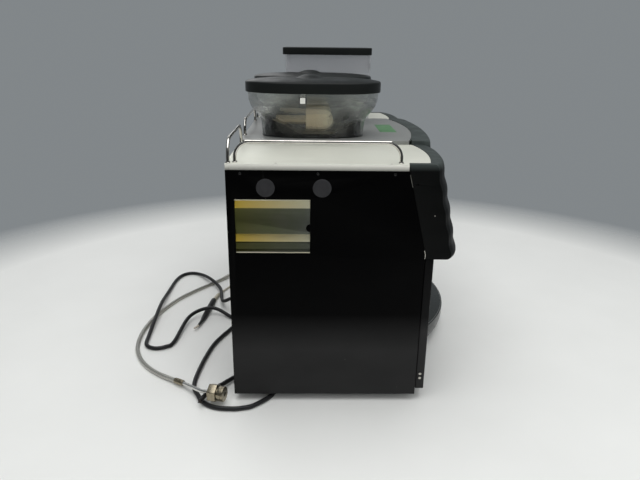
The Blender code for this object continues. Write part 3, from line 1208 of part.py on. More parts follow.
def make_nut():
    """Hexagonal union nut with a groove and a round collar, free to turn on the hose's tail."""
    start, axis = nut_axis()
    sideways = axis.cross(Vector((0, 0, 1))).normalized()
    upward = sideways.cross(axis)
    corner = NUT_FLATS / math.sqrt(3)
    hexagon = circle_loop(start, sideways, upward, corner, 6)
    nut = add_object("union_nut", extrude_outline(hexagon, axis * NUT_LENGTH), (0.55, 0.45, 0.28), 0.35, 1.0)
    neck, collar = NUT_FLATS * NUT_NECK_SHARE, NUT_FLATS * NUT_COLLAR_SHARE
    length = NUT_LENGTH + NUT_GROOVE + NUT_COLLAR
    join(nut, turned(start, axis, ((NUT_LENGTH / 2, neck), (NUT_LENGTH + NUT_GROOVE, neck),
                                   (NUT_LENGTH + NUT_GROOVE, collar), (length, collar))))
    bore = TAIL_DIAMETER / 2 + NUT_BORE_CLEAR
    cut(nut, turned(start, axis, ((-OVERRUN, bore), (length + OVERRUN, bore))))
    return nut


def make_tail():
    """Bare bent tube on the hose's end, which carries the nut."""
    world = [at(*point) for point in TAIL_ROUTE]
    bend = smooth_points(world[:-2], TAIL_STEPS)[0]
    start, axis = nut_axis()
    points = [Vector(point) for point in bend]
    points.append(start + axis * (NUT_LENGTH + NUT_GROOVE + NUT_COLLAR / 2))
    return add_object("hose_tail", sweep(points, TAIL_DIAMETER / 2, TAIL_SIDES), CHROME, 0.25, 1.0)


def make_boot():
    """Thick dark boot with a pale collar on the thin lead, narrowing to a hooked tip."""
    world = [at(*point) for point in BOOT_ROUTE]
    points = smooth_points(world, BOOT_STEPS)[0]
    widths = (COLLAR_DIAMETER, COLLAR_DIAMETER, BOOT_DIAMETER, BOOT_DIAMETER, COLLAR_DIAMETER,
              SIGNAL_DIAMETER)
    radii = np.interp(np.linspace(0, 1, len(points)), BOOT_STEP_SHARES, widths) / 2
    rings = []
    for index, point in enumerate(points):
        before = Vector(points[max(index - 1, 0)])
        after = Vector(points[min(index + 1, len(points) - 1)])
        tangent = (after - before).normalized()
        sideways = tangent.cross(Vector((0, 0, 1))).normalized()
        upward = sideways.cross(tangent)
        rings.append(circle_loop(Vector(point), sideways, upward, radii[index], LEAD_SIDES))
    return add_object("signal_boot", loft(rings), (0.02, 0.02, 0.02), 0.5)


def on_axis(name, place, children):
    """An empty on a joint's axis that carries the pieces which move together."""
    empty = bpy.data.objects.new(name, None)
    empty.location = place
    bpy.context.scene.collection.objects.link(empty)
    for child in children:
        item = bpy.data.objects[child]
        item.parent = empty
        item.matrix_parent_inverse = Matrix.Translation(-Vector(place))


def build():
    """Make every piece and hang the moving ones on their axes."""
    clear_scene()
    for label, right in (("left", False), ("right", True)):
        make_side_panel(f"side_panel_{label}", right)
        make_top_strip(f"top_strip_{label}", right)
        make_side_fascia(f"fascia_{label}", right)
        side = mirrored(RAIL_SIDE, right)
        make_rail(f"side_rail_{label}", at(side, SIDE_RAIL_DEPTHS[0], 0), at(side, SIDE_RAIL_DEPTHS[1], 0),
                  TOP_Z, SIDE_RAIL_TOP, SIDE_RAIL_CORNER)
        ends = sorted(mirrored(value, right) for value in REAR_RAIL_SIDES)
        make_rail(f"rear_rail_{label}", at(ends[0], REAR_RAIL_DEPTH, 0), at(ends[1], REAR_RAIL_DEPTH, 0),
                  TOP_Z, REAR_RAIL_TOP, REAR_RAIL_CORNER)
        for row, depth in zip(("rear", "front"), FOOT_DEPTHS):
            make_foot(f"foot_{row}_{label}", mirrored(FOOT_SIDE, right), depth)
    centre_corner = REAR_RAIL_TOP - DECK_TOP - ROD_RADIUS * 3
    make_rail("rear_rail_centre", at(REAR_RAIL_CENTRE_SIDES[0], REAR_RAIL_DEPTH, 0),
              at(REAR_RAIL_CENTRE_SIDES[1], REAR_RAIL_DEPTH, 0), DECK_TOP, REAR_RAIL_TOP, centre_corner)
    make_cover_plate()
    for label, depth in zip(("rear", "front"), PLUG_DEPTHS):
        make_hole_plug(f"hole_plug_{label}", depth)
    make_base()
    make_rear_panel()
    make_connection_plate()
    make_centre_deck()
    make_centre_fascia()
    make_controls()
    make_lower_fronts()
    make_inner_frame()
    make_drip_tray()
    make_spout()
    make_wand()
    for label, side in zip(("left", "right"), HOPPER_SIDES):
        make_hopper(label, side)
    make_powder_hopper()
    make_works()
    lead_object("mains_lead", MAINS_ROUTE, LEAD_DIAMETER, BLACK, 0.5)
    lead_object("water_hose", HOSE_ROUTE, HOSE_DIAMETER, STEEL, 0.3, 1.0)
    lead_object("signal_lead", SIGNAL_ROUTE, SIGNAL_DIAMETER, (0.75, 0.74, 0.68), 0.5)
    make_nut()
    make_tail()
    make_boot()

    for label, side in zip(("left", "right"), HOPPER_SIDES):
        on_axis(f"hopper_axis_{label}", at(side, HOPPER_DEPTH, DECK_TOP),
                [f"hopper_base_{label}", f"hopper_bowl_{label}"])
        on_axis(f"lid_axis_{label}", at(side, HOPPER_DEPTH, LID_FOOT_Z), [f"hopper_lid_{label}"])
        on_axis(f"paddle_axis_{label}", at(side, PADDLE_REAR, PADDLE_Z), [f"shutter_paddle_{label}"])
    on_axis("powder_lid_axis", at(POWDER_SIDE, POWDER_LID_REAR, POWDER_TOP_Z + GAP), ["powder_lid"])
    on_axis("drawer_axis", at(DOOR_SIDE, BODY_DEPTH, DOOR_Z), ["drawer_front", "grounds_bin"])
    on_axis("door_axis", at(WIDTH - DOOR_HINGE_SIDE, BODY_DEPTH + FRONT_GAP + DOOR_EDGE_THICKNESS / 2, DOOR_Z),
            ["service_door"])
    on_axis("tray_axis", at(MIDDLE, TRAY_REACH, TRAY_TOP_Z), ["drip_tray"])
    on_axis("grid_axis", at(MIDDLE, BODY_DEPTH, TRAY_TOP_Z), ["drip_grid"])
    on_axis("spout_axis", at(MIDDLE, SPOUT_REAR, SPOUT_Z), ["coffee_spout"])
    on_axis("wand_axis", wand_points()[0], ["steam_wand"])
    on_axis("nut_axis", nut_axis()[0], ["union_nut"])
    centre, across, up, outward = panel_frame()
    for index, place in enumerate(button_places(), 1):
        on_axis(f"button_axis_{index}", centre + across * place[0] + up * place[1], [f"button_{index}"])


build()
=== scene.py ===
# %% [markdown]
# # A bean to cup coffee machine
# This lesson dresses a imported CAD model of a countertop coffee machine. It has two bean hoppers, a powder
# hopper, stainless top sheets, a scalloped front and a black sheet body, with its leads lying loose at the rear.
# The CAD gives every piece its real place and size. Each cell makes or finishes one piece of the machine, and
# the piece then rides on the body that moves it.

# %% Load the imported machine
import json
import math

import bmesh
import bpy
from mathutils import Matrix, Vector


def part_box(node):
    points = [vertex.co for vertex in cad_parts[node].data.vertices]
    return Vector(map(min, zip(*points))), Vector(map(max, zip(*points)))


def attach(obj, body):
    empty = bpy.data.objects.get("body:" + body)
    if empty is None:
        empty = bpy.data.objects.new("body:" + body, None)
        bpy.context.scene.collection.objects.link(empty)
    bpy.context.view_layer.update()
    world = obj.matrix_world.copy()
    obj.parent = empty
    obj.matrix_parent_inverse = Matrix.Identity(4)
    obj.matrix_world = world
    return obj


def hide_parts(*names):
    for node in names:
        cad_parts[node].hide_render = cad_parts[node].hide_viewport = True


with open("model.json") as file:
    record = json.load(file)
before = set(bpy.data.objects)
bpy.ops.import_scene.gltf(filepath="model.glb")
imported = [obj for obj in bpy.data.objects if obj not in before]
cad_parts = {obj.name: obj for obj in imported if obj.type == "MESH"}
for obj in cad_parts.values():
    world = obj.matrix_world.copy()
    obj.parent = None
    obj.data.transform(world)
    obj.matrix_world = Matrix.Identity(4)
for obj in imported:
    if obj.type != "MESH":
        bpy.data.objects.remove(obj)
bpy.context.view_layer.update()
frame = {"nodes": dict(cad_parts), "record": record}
bpy.context.scene.view_settings.view_transform = "Standard"

# %% [markdown]
# ## Places on the machine
# A maker measures this machine from three flat faces: its left side, its back and the table. The helper `at`
# turns such a measure into a place in the scene, so each later number is one that could be read with a rule.
# The faces come from the CAD, which keeps the two in step.

# %% Datums
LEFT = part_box("side_panel_left")[0].x
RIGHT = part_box("side_panel_right")[1].x
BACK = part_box("rear_panel")[1].y
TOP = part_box("top_strip_left")[1].z
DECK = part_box("centre_deck")[1].z
HEAD_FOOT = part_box("fascia_left")[0].z
WIDTH = RIGHT - LEFT
MIDDLE = WIDTH / 2
ACROSS, BACKWARD, UP = Vector((1, 0, 0)), Vector((0, 1, 0)), Vector((0, 0, 1))


def at(side, depth, height):
    """Place from the distances off the left side and the back plane, and the height."""
    return Vector((LEFT + side, BACK - depth, height))


print("width", round(WIDTH, 3), "top", round(TOP, 4), "deck", round(DECK, 4))

# %% [markdown]
# ## Camera
# The camera stands at the machine's left side, a little above the top, as a buyer would who looks along the
# front. Its place was solved from edges whose real sizes are known: the side sheet, the cover plate and the two
# plugs. The lens comes from the focal length in pixels of a 640 pixel wide frame.

# %% Camera at the left side
FRAME_PIXELS = 640
FOCAL_PIXELS = 562
PITCH, YAW, ROLL = math.radians(19.23), math.radians(1.12), math.radians(0.706)
CAMERA_PLACE = (-1.4036, 0.0939, 0.7)
camera = bpy.data.objects.new("camera", bpy.data.cameras.new("camera"))
bpy.context.scene.collection.objects.link(camera)
bpy.context.scene.camera = camera
camera.data.sensor_width = 36
camera.data.lens = camera.data.sensor_width * FOCAL_PIXELS / FRAME_PIXELS
ahead = Vector((math.cos(YAW) * math.cos(PITCH), -math.sin(YAW) * math.cos(PITCH), -math.sin(PITCH)))
level = Vector((-math.sin(YAW), -math.cos(YAW), 0))
above = level.cross(ahead)
tilted = level * math.cos(ROLL) + above * math.sin(ROLL)
upright = above * math.cos(ROLL) - level * math.sin(ROLL)
turn = Matrix((tilted, upright, -ahead)).transposed().to_4x4()
camera.matrix_world = Matrix.Translation(CAMERA_PLACE) @ turn
print("lens", round(camera.data.lens, 2), "mm")

# %% [markdown]
# ## Finishes
# Each finish is one Principled shader with a few texture nodes. The small class below holds a material while it
# is built, and each of its calls adds to it. All patterns read Object coordinates. The objects sit at the
# origin, so a pattern is in metres and stays on its piece when the piece moves.


# %% A helper that builds a finish
class Finish:
    """A Principled material in the making."""

    def __init__(self, name, slot, colour, roughness, metallic=0.0, levels=(), follow="Object"):
        self.slot = slot
        self.material = bpy.data.materials.new(name)
        self.material.use_nodes = True
        self.tree = self.material.node_tree
        self.shader = self.tree.nodes["Principled BSDF"]
        self.place = self.tree.nodes.new("ShaderNodeTexCoord").outputs[follow]
        self.set(self.shader, {"Base Color": (*colour, 1), "Roughness": roughness, "Metallic": metallic})
        self.set(self.shader, dict(levels))

    def set(self, node, values):
        """Put plain values or other nodes' sockets on a node's inputs."""
        for key, value in values.items():
            if isinstance(value, bpy.types.NodeSocket):
                self.tree.links.new(value, node.inputs[key])
            else:
                node.inputs[key].default_value = value

    def node(self, kind, values=(), output=0, **settings):
        """Add a node and give back one of its outputs."""
        made = self.tree.nodes.new("ShaderNode" + kind)
        for key, value in settings.items():
            setattr(made, key, value)
        self.set(made, dict(values))
        return made.outputs[output]

    def noise(self, scale, stretch=(1, 1, 1), detail=3.0):
        """Noise at so many features a metre, stretched along any axis."""
        place = self.node("Mapping", {"Vector": self.place, "Scale": [scale * share for share in stretch]})
        return self.node("TexNoise", {"Vector": place, "Scale": 1.0, "Detail": detail})

    def along(self, axis, start, end):
        """Ramp from 0 to 1 between two coordinates on an axis."""
        part = self.node("SeparateXYZ", {"Vector": self.place}, output="XYZ".index(axis))
        return self.span(part, start, end, 0, 1)

    def span(self, source, low, high, out_low, out_high):
        """Map a source's range to another, with its ends clamped."""
        return self.node("MapRange", {"Value": source, "From Min": low, "From Max": high, "To Min": out_low,
                                      "To Max": out_high})

    def maths(self, operation, first, second):
        """One sum of two sources or numbers."""
        made = self.tree.nodes.new("ShaderNodeMath")
        made.operation = operation
        self.set(made, {0: first, 1: second})
        return made.outputs[0]

    def between(self, factor, first, second):
        """Colour between two others."""
        colours = [(*value, 1) if isinstance(value, tuple) else value for value in (first, second)]
        made = self.tree.nodes.new("ShaderNodeMix")
        made.data_type = "RGBA"
        self.set(made, {0: factor, 6: colours[0], 7: colours[1]})
        return made.outputs[2]

    def colour(self, source):
        self.set(self.shader, {"Base Color": source})

    def roughness(self, source):
        self.set(self.shader, {"Roughness": source})

    def bump(self, height, strength, distance=0.0002):
        """Let a source raise the surface by up to a distance in metres."""
        self.set(self.shader, {"Normal": self.node(
            "Bump", {"Height": height, "Strength": strength, "Distance": distance})})

    def mottled(self, scale, dark, light, detail=3.0):
        """Let the colour drift between two others."""
        self.colour(self.between(self.noise(scale, detail=detail), dark, light))

    def handled(self, scale, low, high, smooth, rough, detail=3.0):
        """Let the roughness drift between two values, as handling leaves it."""
        self.roughness(self.span(self.noise(scale, detail=detail), low, high, smooth, rough))

    def grained(self, scale, strength, distance=0.0002, detail=3.0):
        """Raise the surface by a fine noise."""
        self.bump(self.noise(scale, detail=detail), strength, distance)


print("finish helper ready")

# %% [markdown]
# ## Shaping and hanging pieces
# Five helpers do the work that every piece needs. `settle` turns a bmesh into an object, dresses it, hangs it on
# its body and hides the CAD nodes that it stands for. `shell` extrudes a ring of edges from level to level.
# `spun` turns a profile round an axis. `eased` rounds the sharp edges, since real edges are never knife sharp and
# the thin highlight on them is what makes a sheet or moulding look real. `dressed` is for a CAD shape that is right.

# %% Helpers for pieces
BODY_OF = {node: body for body, nodes in frame["record"]["behaviour"]["bodies"].items() for node in nodes}


def settle(name, builder, finish, nodes=(), body=None, corner=35):
    """Make a bmesh into a finished piece in place of some CAD nodes."""
    mesh = bpy.data.meshes.new(name)
    builder.to_mesh(mesh)
    builder.free()
    return hang(bpy.data.objects.new(name, mesh), finish, nodes, body, corner)


def hang(piece, finish, nodes=(), body=None, corner=35):
    """Dress an object, link it, and let it ride on its body."""
    bpy.context.scene.collection.objects.link(piece)
    piece.data.materials.clear()
    piece.data.materials.append(finish.material)
    if piece.type == "MESH":
        piece.data.shade_smooth()
        piece.data.set_sharp_from_angle(angle=math.radians(corner))
    nodes = (nodes,) if isinstance(nodes, str) else nodes
    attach(piece, body or BODY_OF[nodes[0]])
    if nodes:
        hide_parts(*nodes)
    return piece


def eased(builder, width, segments=2, corner=30):
    """Round every edge that is sharper than a corner angle."""
    sharp = [edge for edge in builder.edges
             if len(edge.link_faces) == 2 and edge.calc_face_angle() > math.radians(corner)]
    bmesh.ops.bevel(builder, geom=sharp, offset=width, segments=segments, profile=0.5, affect="EDGES",
                    clamp_overlap=True, material=-1)
    return builder


def copied(node):
    """A clean copy of a CAD node's mesh, merged and with its flat faces whole."""
    builder = bmesh.new()
    builder.from_mesh(frame["nodes"][node].data)
    bmesh.ops.remove_doubles(builder, verts=builder.verts, dist=1e-5)
    bmesh.ops.dissolve_limit(builder, angle_limit=math.radians(1), verts=builder.verts, edges=builder.edges)
    return builder


def dressed(name, node, finish, width, segments=2):
    """A CAD node's own shape with rounded edges, as a finished piece."""
    return settle(name, eased(copied(node), width, segments), finish, node)


def shell(rings, capped=(True, True)):
    """Extrude a closed ring of edges through matching rings of places."""
    builder = bmesh.new()
    ring = [builder.verts.new(place) for place in rings[0]]
    edges = [builder.edges.new(pair) for pair in zip(ring, ring[1:] + ring[:1])]
    if capped[0]:
        bmesh.ops.contextual_create(builder, geom=edges)
    for places in rings[1:]:
        order = {tuple(round(value, 7) for value in vert.co): index for index, vert in enumerate(ring)}
        grown = bmesh.ops.extrude_edge_only(builder, edges=edges)["geom"]
        fresh = [item for item in grown if isinstance(item, bmesh.types.BMVert)]
        fresh.sort(key=lambda vert: order[tuple(round(value, 7) for value in vert.co)])
        edges = [item for item in grown if isinstance(item, bmesh.types.BMEdge)
                 and item.verts[0] in fresh and item.verts[1] in fresh]
        for vert, place in zip(fresh, places):
            vert.co = place
        ring = fresh
    if capped[1]:
        bmesh.ops.contextual_create(builder, geom=edges)
    bmesh.ops.recalc_face_normals(builder, faces=builder.faces)
    return builder


def spun(profile, place, axis, steps=40, builder=None):
    """Turn a profile of (distance along, radius) pairs round an axis."""
    fresh = bmesh.new()
    verts = [fresh.verts.new((radius, 0, along)) for along, radius in profile]
    edges = [fresh.edges.new(pair) for pair in zip(verts, verts[1:])]
    bmesh.ops.spin(fresh, geom=verts + edges, cent=(0, 0, 0), axis=(0, 0, 1), angle=2 * math.pi, steps=steps,
                   use_merge=True, use_normal_flip=False, use_duplicate=False)
    bmesh.ops.remove_doubles(fresh, verts=fresh.verts, dist=1e-7)
    bmesh.ops.recalc_face_normals(fresh, faces=fresh.faces)
    facing = Vector(axis).to_track_quat("Z", "Y").to_matrix().to_4x4()
    bmesh.ops.transform(fresh, matrix=Matrix.Translation(place) @ facing, verts=fresh.verts)
    return fresh if builder is None else merged(builder, fresh)


def merged(builder, other):
    """Add one bmesh's shapes to another's."""
    carrier = bpy.data.meshes.new("carrier")
    other.to_mesh(carrier)
    other.free()
    builder.from_mesh(carrier)
    bpy.data.meshes.remove(carrier)
    return builder


def block(size, centre):
    """A block round a centre."""
    builder = bmesh.new()
    bmesh.ops.create_cube(builder, size=1)
    bmesh.ops.scale(builder, vec=size, verts=builder.verts)
    bmesh.ops.translate(builder, vec=centre, verts=builder.verts)
    return builder


def slab(side, depth, height):
    """A block between three (low, high) pairs."""
    low, high = at(side[0], depth[1], height[0]), at(side[1], depth[0], height[1])
    return block(high - low, (low + high) / 2)


def upright_prism(outline, low, high):
    """A block with a plan of (side, depth) points."""
    return shell([[at(side, depth, height) for side, depth in outline] for height in (low, high)])


def carved(builder, *cutters):
    """Cut other shapes away from a shape, and give back the shape that is left."""
    work = [bpy.data.objects.new("work", bpy.data.meshes.new("work")) for _ in range(len(cutters) + 1)]
    for item, shape in zip(work, (builder, *cutters)):
        shape.to_mesh(item.data)
        shape.free()
        bpy.context.scene.collection.objects.link(item)
    for cutter in work[1:]:
        modifier = work[0].modifiers.new("cut", "BOOLEAN")
        modifier.operation = "DIFFERENCE"
        modifier.solver = "EXACT"
        modifier.object = cutter
    result = bmesh.new()
    result.from_object(work[0], bpy.context.evaluated_depsgraph_get())
    for item in work:
        bpy.data.meshes.remove(item.data)
    bmesh.ops.remove_doubles(result, verts=result.verts, dist=1e-6)
    return result


print("piece helpers ready")

# %% [markdown]
# ## Lead and hose finishes
# The mains lead has a satin black jacket, and the thin lead an ivory one. The water hose has a stainless braid:
# strands cross in two directions, so two waves that run round the hose in opposite ways give its diamonds. Its
# pattern follows the hose, so it reads the curve's own UV map, with the length in U and the way round in V.

# %% Lead and hose finishes
jacket = Finish("black_jacket", "lead_black", (0.008, 0.008, 0.009), 0.42, levels={"Specular IOR Level": 0.4})
jacket.grained(900, 0.15)
ivory = Finish("ivory_jacket", "lead_pale", (0.5, 0.47, 0.38), 0.45)
ivory.mottled(60, (0.42, 0.38, 0.28), (0.6, 0.57, 0.48))
braid = Finish("steel_braid", "braid", (0.5, 0.5, 0.5), 0.32, 1.0, follow="UV")
TURNS, CARRIERS = 190, 6
run, way = (braid.maths("MULTIPLY", braid.node("SeparateXYZ", {"Vector": braid.place}, output=axis),
                        count * 2 * math.pi) for axis, count in enumerate((TURNS, CARRIERS)))
first = braid.maths("SINE", braid.maths("ADD", run, way), 0)
second = braid.maths("SINE", braid.maths("SUBTRACT", run, way), 0)
weave = braid.maths("MULTIPLY", first, second)
braid.colour(braid.between(braid.span(weave, -0.6, 0.8, 0, 1), (0.34, 0.33, 0.3), (0.86, 0.84, 0.78)))
braid.bump(weave, 0.5, 0.0004)
print("lead finishes ready")

# %% [markdown]
# ## Free leads and the water hose
# The leads come first after the camera, because they reach furthest from the machine. Each is one open Bezier
# spline through points measured from the photograph, lifted where it crosses another. The handles are a sixth of
# the way between a point's neighbours, which is the same curve as the CAD's, so each lead lies where its solid is.

# %% Leads, hose and their routes
MAINS_ROUTE = (
    (0.405, -0.0146, 0.045), (0.405, -0.03, 0.045), (0.4062, -0.046, 0.0438), (0.411, -0.062, 0.0386),
    (0.437, -0.089, 0.0205), (0.533, -0.11, 0.0139), (0.6, -0.15, 0.0158), (0.66, -0.196, 0.0066),
    (0.666, -0.233, 0.0052), (0.625, -0.256, 0.0053), (0.515, -0.26, 0.008), (0.43, -0.257, 0.0156),
    (0.35, -0.2515, 0.0152), (0.27, -0.248, 0.0067), (0.22, -0.242, 0.0051), (0.202, -0.219, 0.005),
    (0.209, -0.193, 0.0053), (0.233, -0.178, 0.0058), (0.35, -0.162, 0.016), (0.39, -0.112, 0.0206),
    (0.368, -0.061, 0.007), (0.33, -0.039, 0.0052), (0.215, -0.08, 0.005), (0.065, -0.0945, 0.005),
    (0.006, -0.0755, 0.005), (-0.018, -0.058, 0.005), (-0.031, -0.035, 0.005), (-0.035, -0.008, 0.005),
    (-0.0331, 0.018, 0.005), (-0.022, 0.044, 0.005), (0.019, 0.079, 0.005), (0.076, 0.076, 0.005),
    (0.092, 0.052, 0.005), (0.082, -0.001, 0.0062), (0.044, -0.032, 0.0096), (0.025, -0.0475, 0.0106),
    (0.006, -0.0582, 0.0126), (-0.003, -0.0607, 0.0137), (-0.011, -0.0628, 0.015), (-0.026, -0.066, 0.0166),
)
HOSE_ROUTE = (
    (0.69, -0.0146, 0.055), (0.69, -0.03, 0.055), (0.69, -0.045, 0.0545), (0.686, -0.064, 0.044),
    (0.674, -0.081, 0.025), (0.654, -0.096, 0.0105), (0.623, -0.118, 0.0052), (0.578, -0.152, 0.0048),
    (0.533, -0.186, 0.0048), (0.4842, -0.217, 0.0048), (0.428, -0.2408, 0.0048), (0.3683, -0.2583, 0.0048),
    (0.3128, -0.267, 0.0048), (0.2561, -0.2675, 0.0048), (0.2029, -0.259, 0.0048), (0.1588, -0.2406, 0.0048),
    (0.1214, -0.214, 0.005), (0.09, -0.18, 0.0058), (0.066, -0.145, 0.0078), (0.047, -0.117, 0.0106),
)
SIGNAL_ROUTE = (
    (0.605, -0.0146, 0.045), (0.605, -0.021, 0.045), (0.605, -0.028, 0.0446), (0.6048, -0.035, 0.0435),
    (0.6041, -0.042, 0.0388), (0.603, -0.05, 0.032), (0.601, -0.057, 0.0238), (0.598, -0.064, 0.016),
    (0.5932, -0.0712, 0.0098), (0.587, -0.078, 0.0058), (0.579, -0.0838, 0.0036), (0.57, -0.0885, 0.0028),
    (0.552, -0.0965, 0.003), (0.533, -0.104, 0.004), (0.5125, -0.1116, 0.0052),
)


def bezier(name, places, diameter, fine=5):
    """A round curve with filled ends along smooth places."""
    curve = bpy.data.curves.new(name, "CURVE")
    curve.dimensions = "3D"
    curve.bevel_depth = diameter / 2
    curve.bevel_resolution = fine
    curve.resolution_u = 14
    curve.use_fill_caps = True
    spline = curve.splines.new("BEZIER")
    spline.bezier_points.add(len(places) - 1)
    padded = [places[0] * 2 - places[1], *places, places[-1] * 2 - places[-2]]
    for knot, before, place, after in zip(spline.bezier_points, padded, padded[1:], padded[2:]):
        knot.handle_left_type = knot.handle_right_type = "FREE"
        knot.co = place
        knot.handle_left = place - (after - before) / 6
        knot.handle_right = place + (after - before) / 6
    return bpy.data.objects.new(name, curve)


def curve_places(piece, steps):
    """Places along a curve, so many to each stretch between two of its knots."""
    knots, places = piece.data.splines[0].bezier_points, []
    for one, two in zip(knots, knots[1:]):
        for t in (step / steps for step in range(steps)):
            places.append(one.co * (1 - t) ** 3 + one.handle_right * (3 * t * (1 - t) ** 2)
                          + two.handle_left * (3 * t * t * (1 - t)) + two.co * t ** 3)
    return [*places, knots[-1].co.copy()]


def curve_length(piece):
    """Length of a curve's centreline."""
    line = curve_places(piece, 24)
    return sum((b - a).length for a, b in zip(line, line[1:]))


leads = {}
for name, node, route, diameter, finish in (
        ("mains_cord", "mains_lead", MAINS_ROUTE, 0.0095, jacket),
        ("braided_hose", "water_hose", HOSE_ROUTE, 0.0096, braid),
        ("signal_cord", "signal_lead", SIGNAL_ROUTE, 0.005, ivory)):
    piece = bezier(name, [at(*point) for point in route], diameter)
    leads[name] = (hang(piece, finish, node), at(*route[0]), curve_length(piece), diameter)
    print(name, "length", round(leads[name][2], 3), "m")

# %% [markdown]
# ## What the leads end in
# The mains lead has no plug: its jacket is cut and three dark cores show. The hose ends in a crimped ferrule, a
# bare bent tube and a brass union nut. The thin lead ends in an ivory collar, a thick black boot and a small
# pale tip. A ferrule, a nut's collar and a strain relief are all turned shapes, so each is one spun profile.

# %% Ends of the leads
TAIL_ROUTE = (
    (0.0454, -0.1146, 0.0109), (0.025, -0.0925, 0.0156), (0.008, -0.0765, 0.0202), (-0.0015, -0.064, 0.0231),
    (-0.006, -0.05, 0.0243), (-0.0089, -0.04, 0.0245), (-0.0122, -0.026, 0.0245),
)
BOOT_ROUTE = (
    (0.512, -0.1118, 0.0052), (0.46, -0.1203, 0.0072), (0.418, -0.1235, 0.0072), (0.3763, -0.1262, 0.0072),
    (0.3181, -0.1329, 0.0072), (0.298, -0.142, 0.0072),
)
bright = Finish("bright_tube", "chrome_rod", (0.72, 0.71, 0.68), 0.18, 1.0)
brass = Finish("nickelled_brass", "nut_brass", (0.4, 0.34, 0.24), 0.3, 1.0)
brass.mottled(240, (0.23, 0.2, 0.14), (0.42, 0.37, 0.28))
brass.handled(400, 0.3, 0.7, 0.22, 0.42)
boot_black = Finish("boot_black", "gloss_black", (0.01, 0.01, 0.01), 0.55)
rubber = Finish("black_rubber", "rubber_black", (0.014, 0.014, 0.015), 0.62, levels={"Specular IOR Level": 0.35})
rubber.grained(700, 0.2)
tip_pale = Finish("pale_tip", "lead_pale", (0.55, 0.5, 0.42), 0.4)

nut_face, nut_way = at(*TAIL_ROUTE[-3]), (at(*TAIL_ROUTE[-1]) - at(*TAIL_ROUTE[-3])).normalized()
NUT_FLATS, NUT_LENGTH, NUT_GROOVE, NUT_COLLAR = 0.033, 0.018, 0.0025, 0.013
tail_places = [at(*point) for point in TAIL_ROUTE[:-2]]
tail_places[0] = at(*HOSE_ROUTE[-1])
tail_places.append(nut_face + nut_way * (NUT_LENGTH + NUT_GROOVE + NUT_COLLAR / 2))
tail = hang(bezier("hose_tube", tail_places, 0.008), bright, "hose_tail")

hexagon = bmesh.new()
bmesh.ops.create_circle(hexagon, cap_ends=True, segments=6, radius=NUT_FLATS / math.sqrt(3))
grown = bmesh.ops.extrude_face_region(hexagon, geom=hexagon.faces[:])["geom"]
bmesh.ops.translate(hexagon, vec=(0, 0, NUT_LENGTH), verts=[v for v in grown if isinstance(v, bmesh.types.BMVert)])
bmesh.ops.recalc_face_normals(hexagon, faces=hexagon.faces)
eased(hexagon, 0.0011, 3)
facing = Matrix((nut_way.cross(UP).normalized(), nut_way.cross(UP).normalized().cross(nut_way),
                 nut_way)).transposed().to_4x4()
bmesh.ops.transform(hexagon, matrix=Matrix.Translation(nut_face) @ facing, verts=hexagon.verts)
END = NUT_LENGTH + NUT_GROOVE + NUT_COLLAR
BORE = 0.0042
spun([(-0.001, BORE), (-0.001, 0.009), (0.0012, 0.012), (0.0012, BORE)], nut_face, nut_way, builder=hexagon)
spun([(NUT_LENGTH - 0.001, BORE), (NUT_LENGTH - 0.001, 0.0132), (NUT_LENGTH + NUT_GROOVE, 0.0132),
      (NUT_LENGTH + NUT_GROOVE, 0.015), (NUT_LENGTH + NUT_GROOVE + 0.001, 0.0155),
      (END - 0.006, 0.0155), (END - 0.0055, 0.0148), (END - 0.0045, 0.0148), (END - 0.004, 0.0155),
      (END - 0.0012, 0.0155), (END, 0.0144), (END, BORE)], nut_face, nut_way, builder=hexagon)
nut = settle("swivel_nut", hexagon, brass, "union_nut")

hose_end, hose_way = at(*HOSE_ROUTE[-1]), (at(*HOSE_ROUTE[-2]) - at(*HOSE_ROUTE[-1])).normalized()
crimps = [(-0.0015, 0.004), (-0.0015, 0.0056)]
for ring in range(4):
    start = 0.0005 + ring * 0.0052
    crimps += [(start, 0.0063), (start + 0.0028, 0.0063), (start + 0.0034, 0.0054), (start + 0.0046, 0.0054)]
crimps += [(0.0213, 0.0062), (0.0225, 0.006), (0.0225, 0.0047)]
ferrule = settle("hose_ferrule", spun(crimps, hose_end, hose_way), brass, body="machine")


def along_route(places, share):
    """Place and direction at a share of the way along some places."""
    lengths = [0]
    for before, after in zip(places, places[1:]):
        lengths.append(lengths[-1] + (after - before).length)
    wanted = share * lengths[-1]
    index = max(i for i in range(len(places) - 1) if lengths[i] <= wanted)
    span = (places[index + 1] - places[index])
    return places[index] + span * ((wanted - lengths[index]) / span.length), span.normalized()


def tube(places, shape, count=28):
    """A round body along some places, from (share of the way, radius) pairs."""
    rings = []
    for share, radius in shape:
        place, way = along_route(places, share)
        sideways = way.cross(UP).normalized()
        over = sideways.cross(way)
        rings.append([place + sideways * (radius * math.cos(2 * math.pi * step / count))
                      + over * (radius * math.sin(2 * math.pi * step / count)) for step in range(count)])
    return shell(rings)


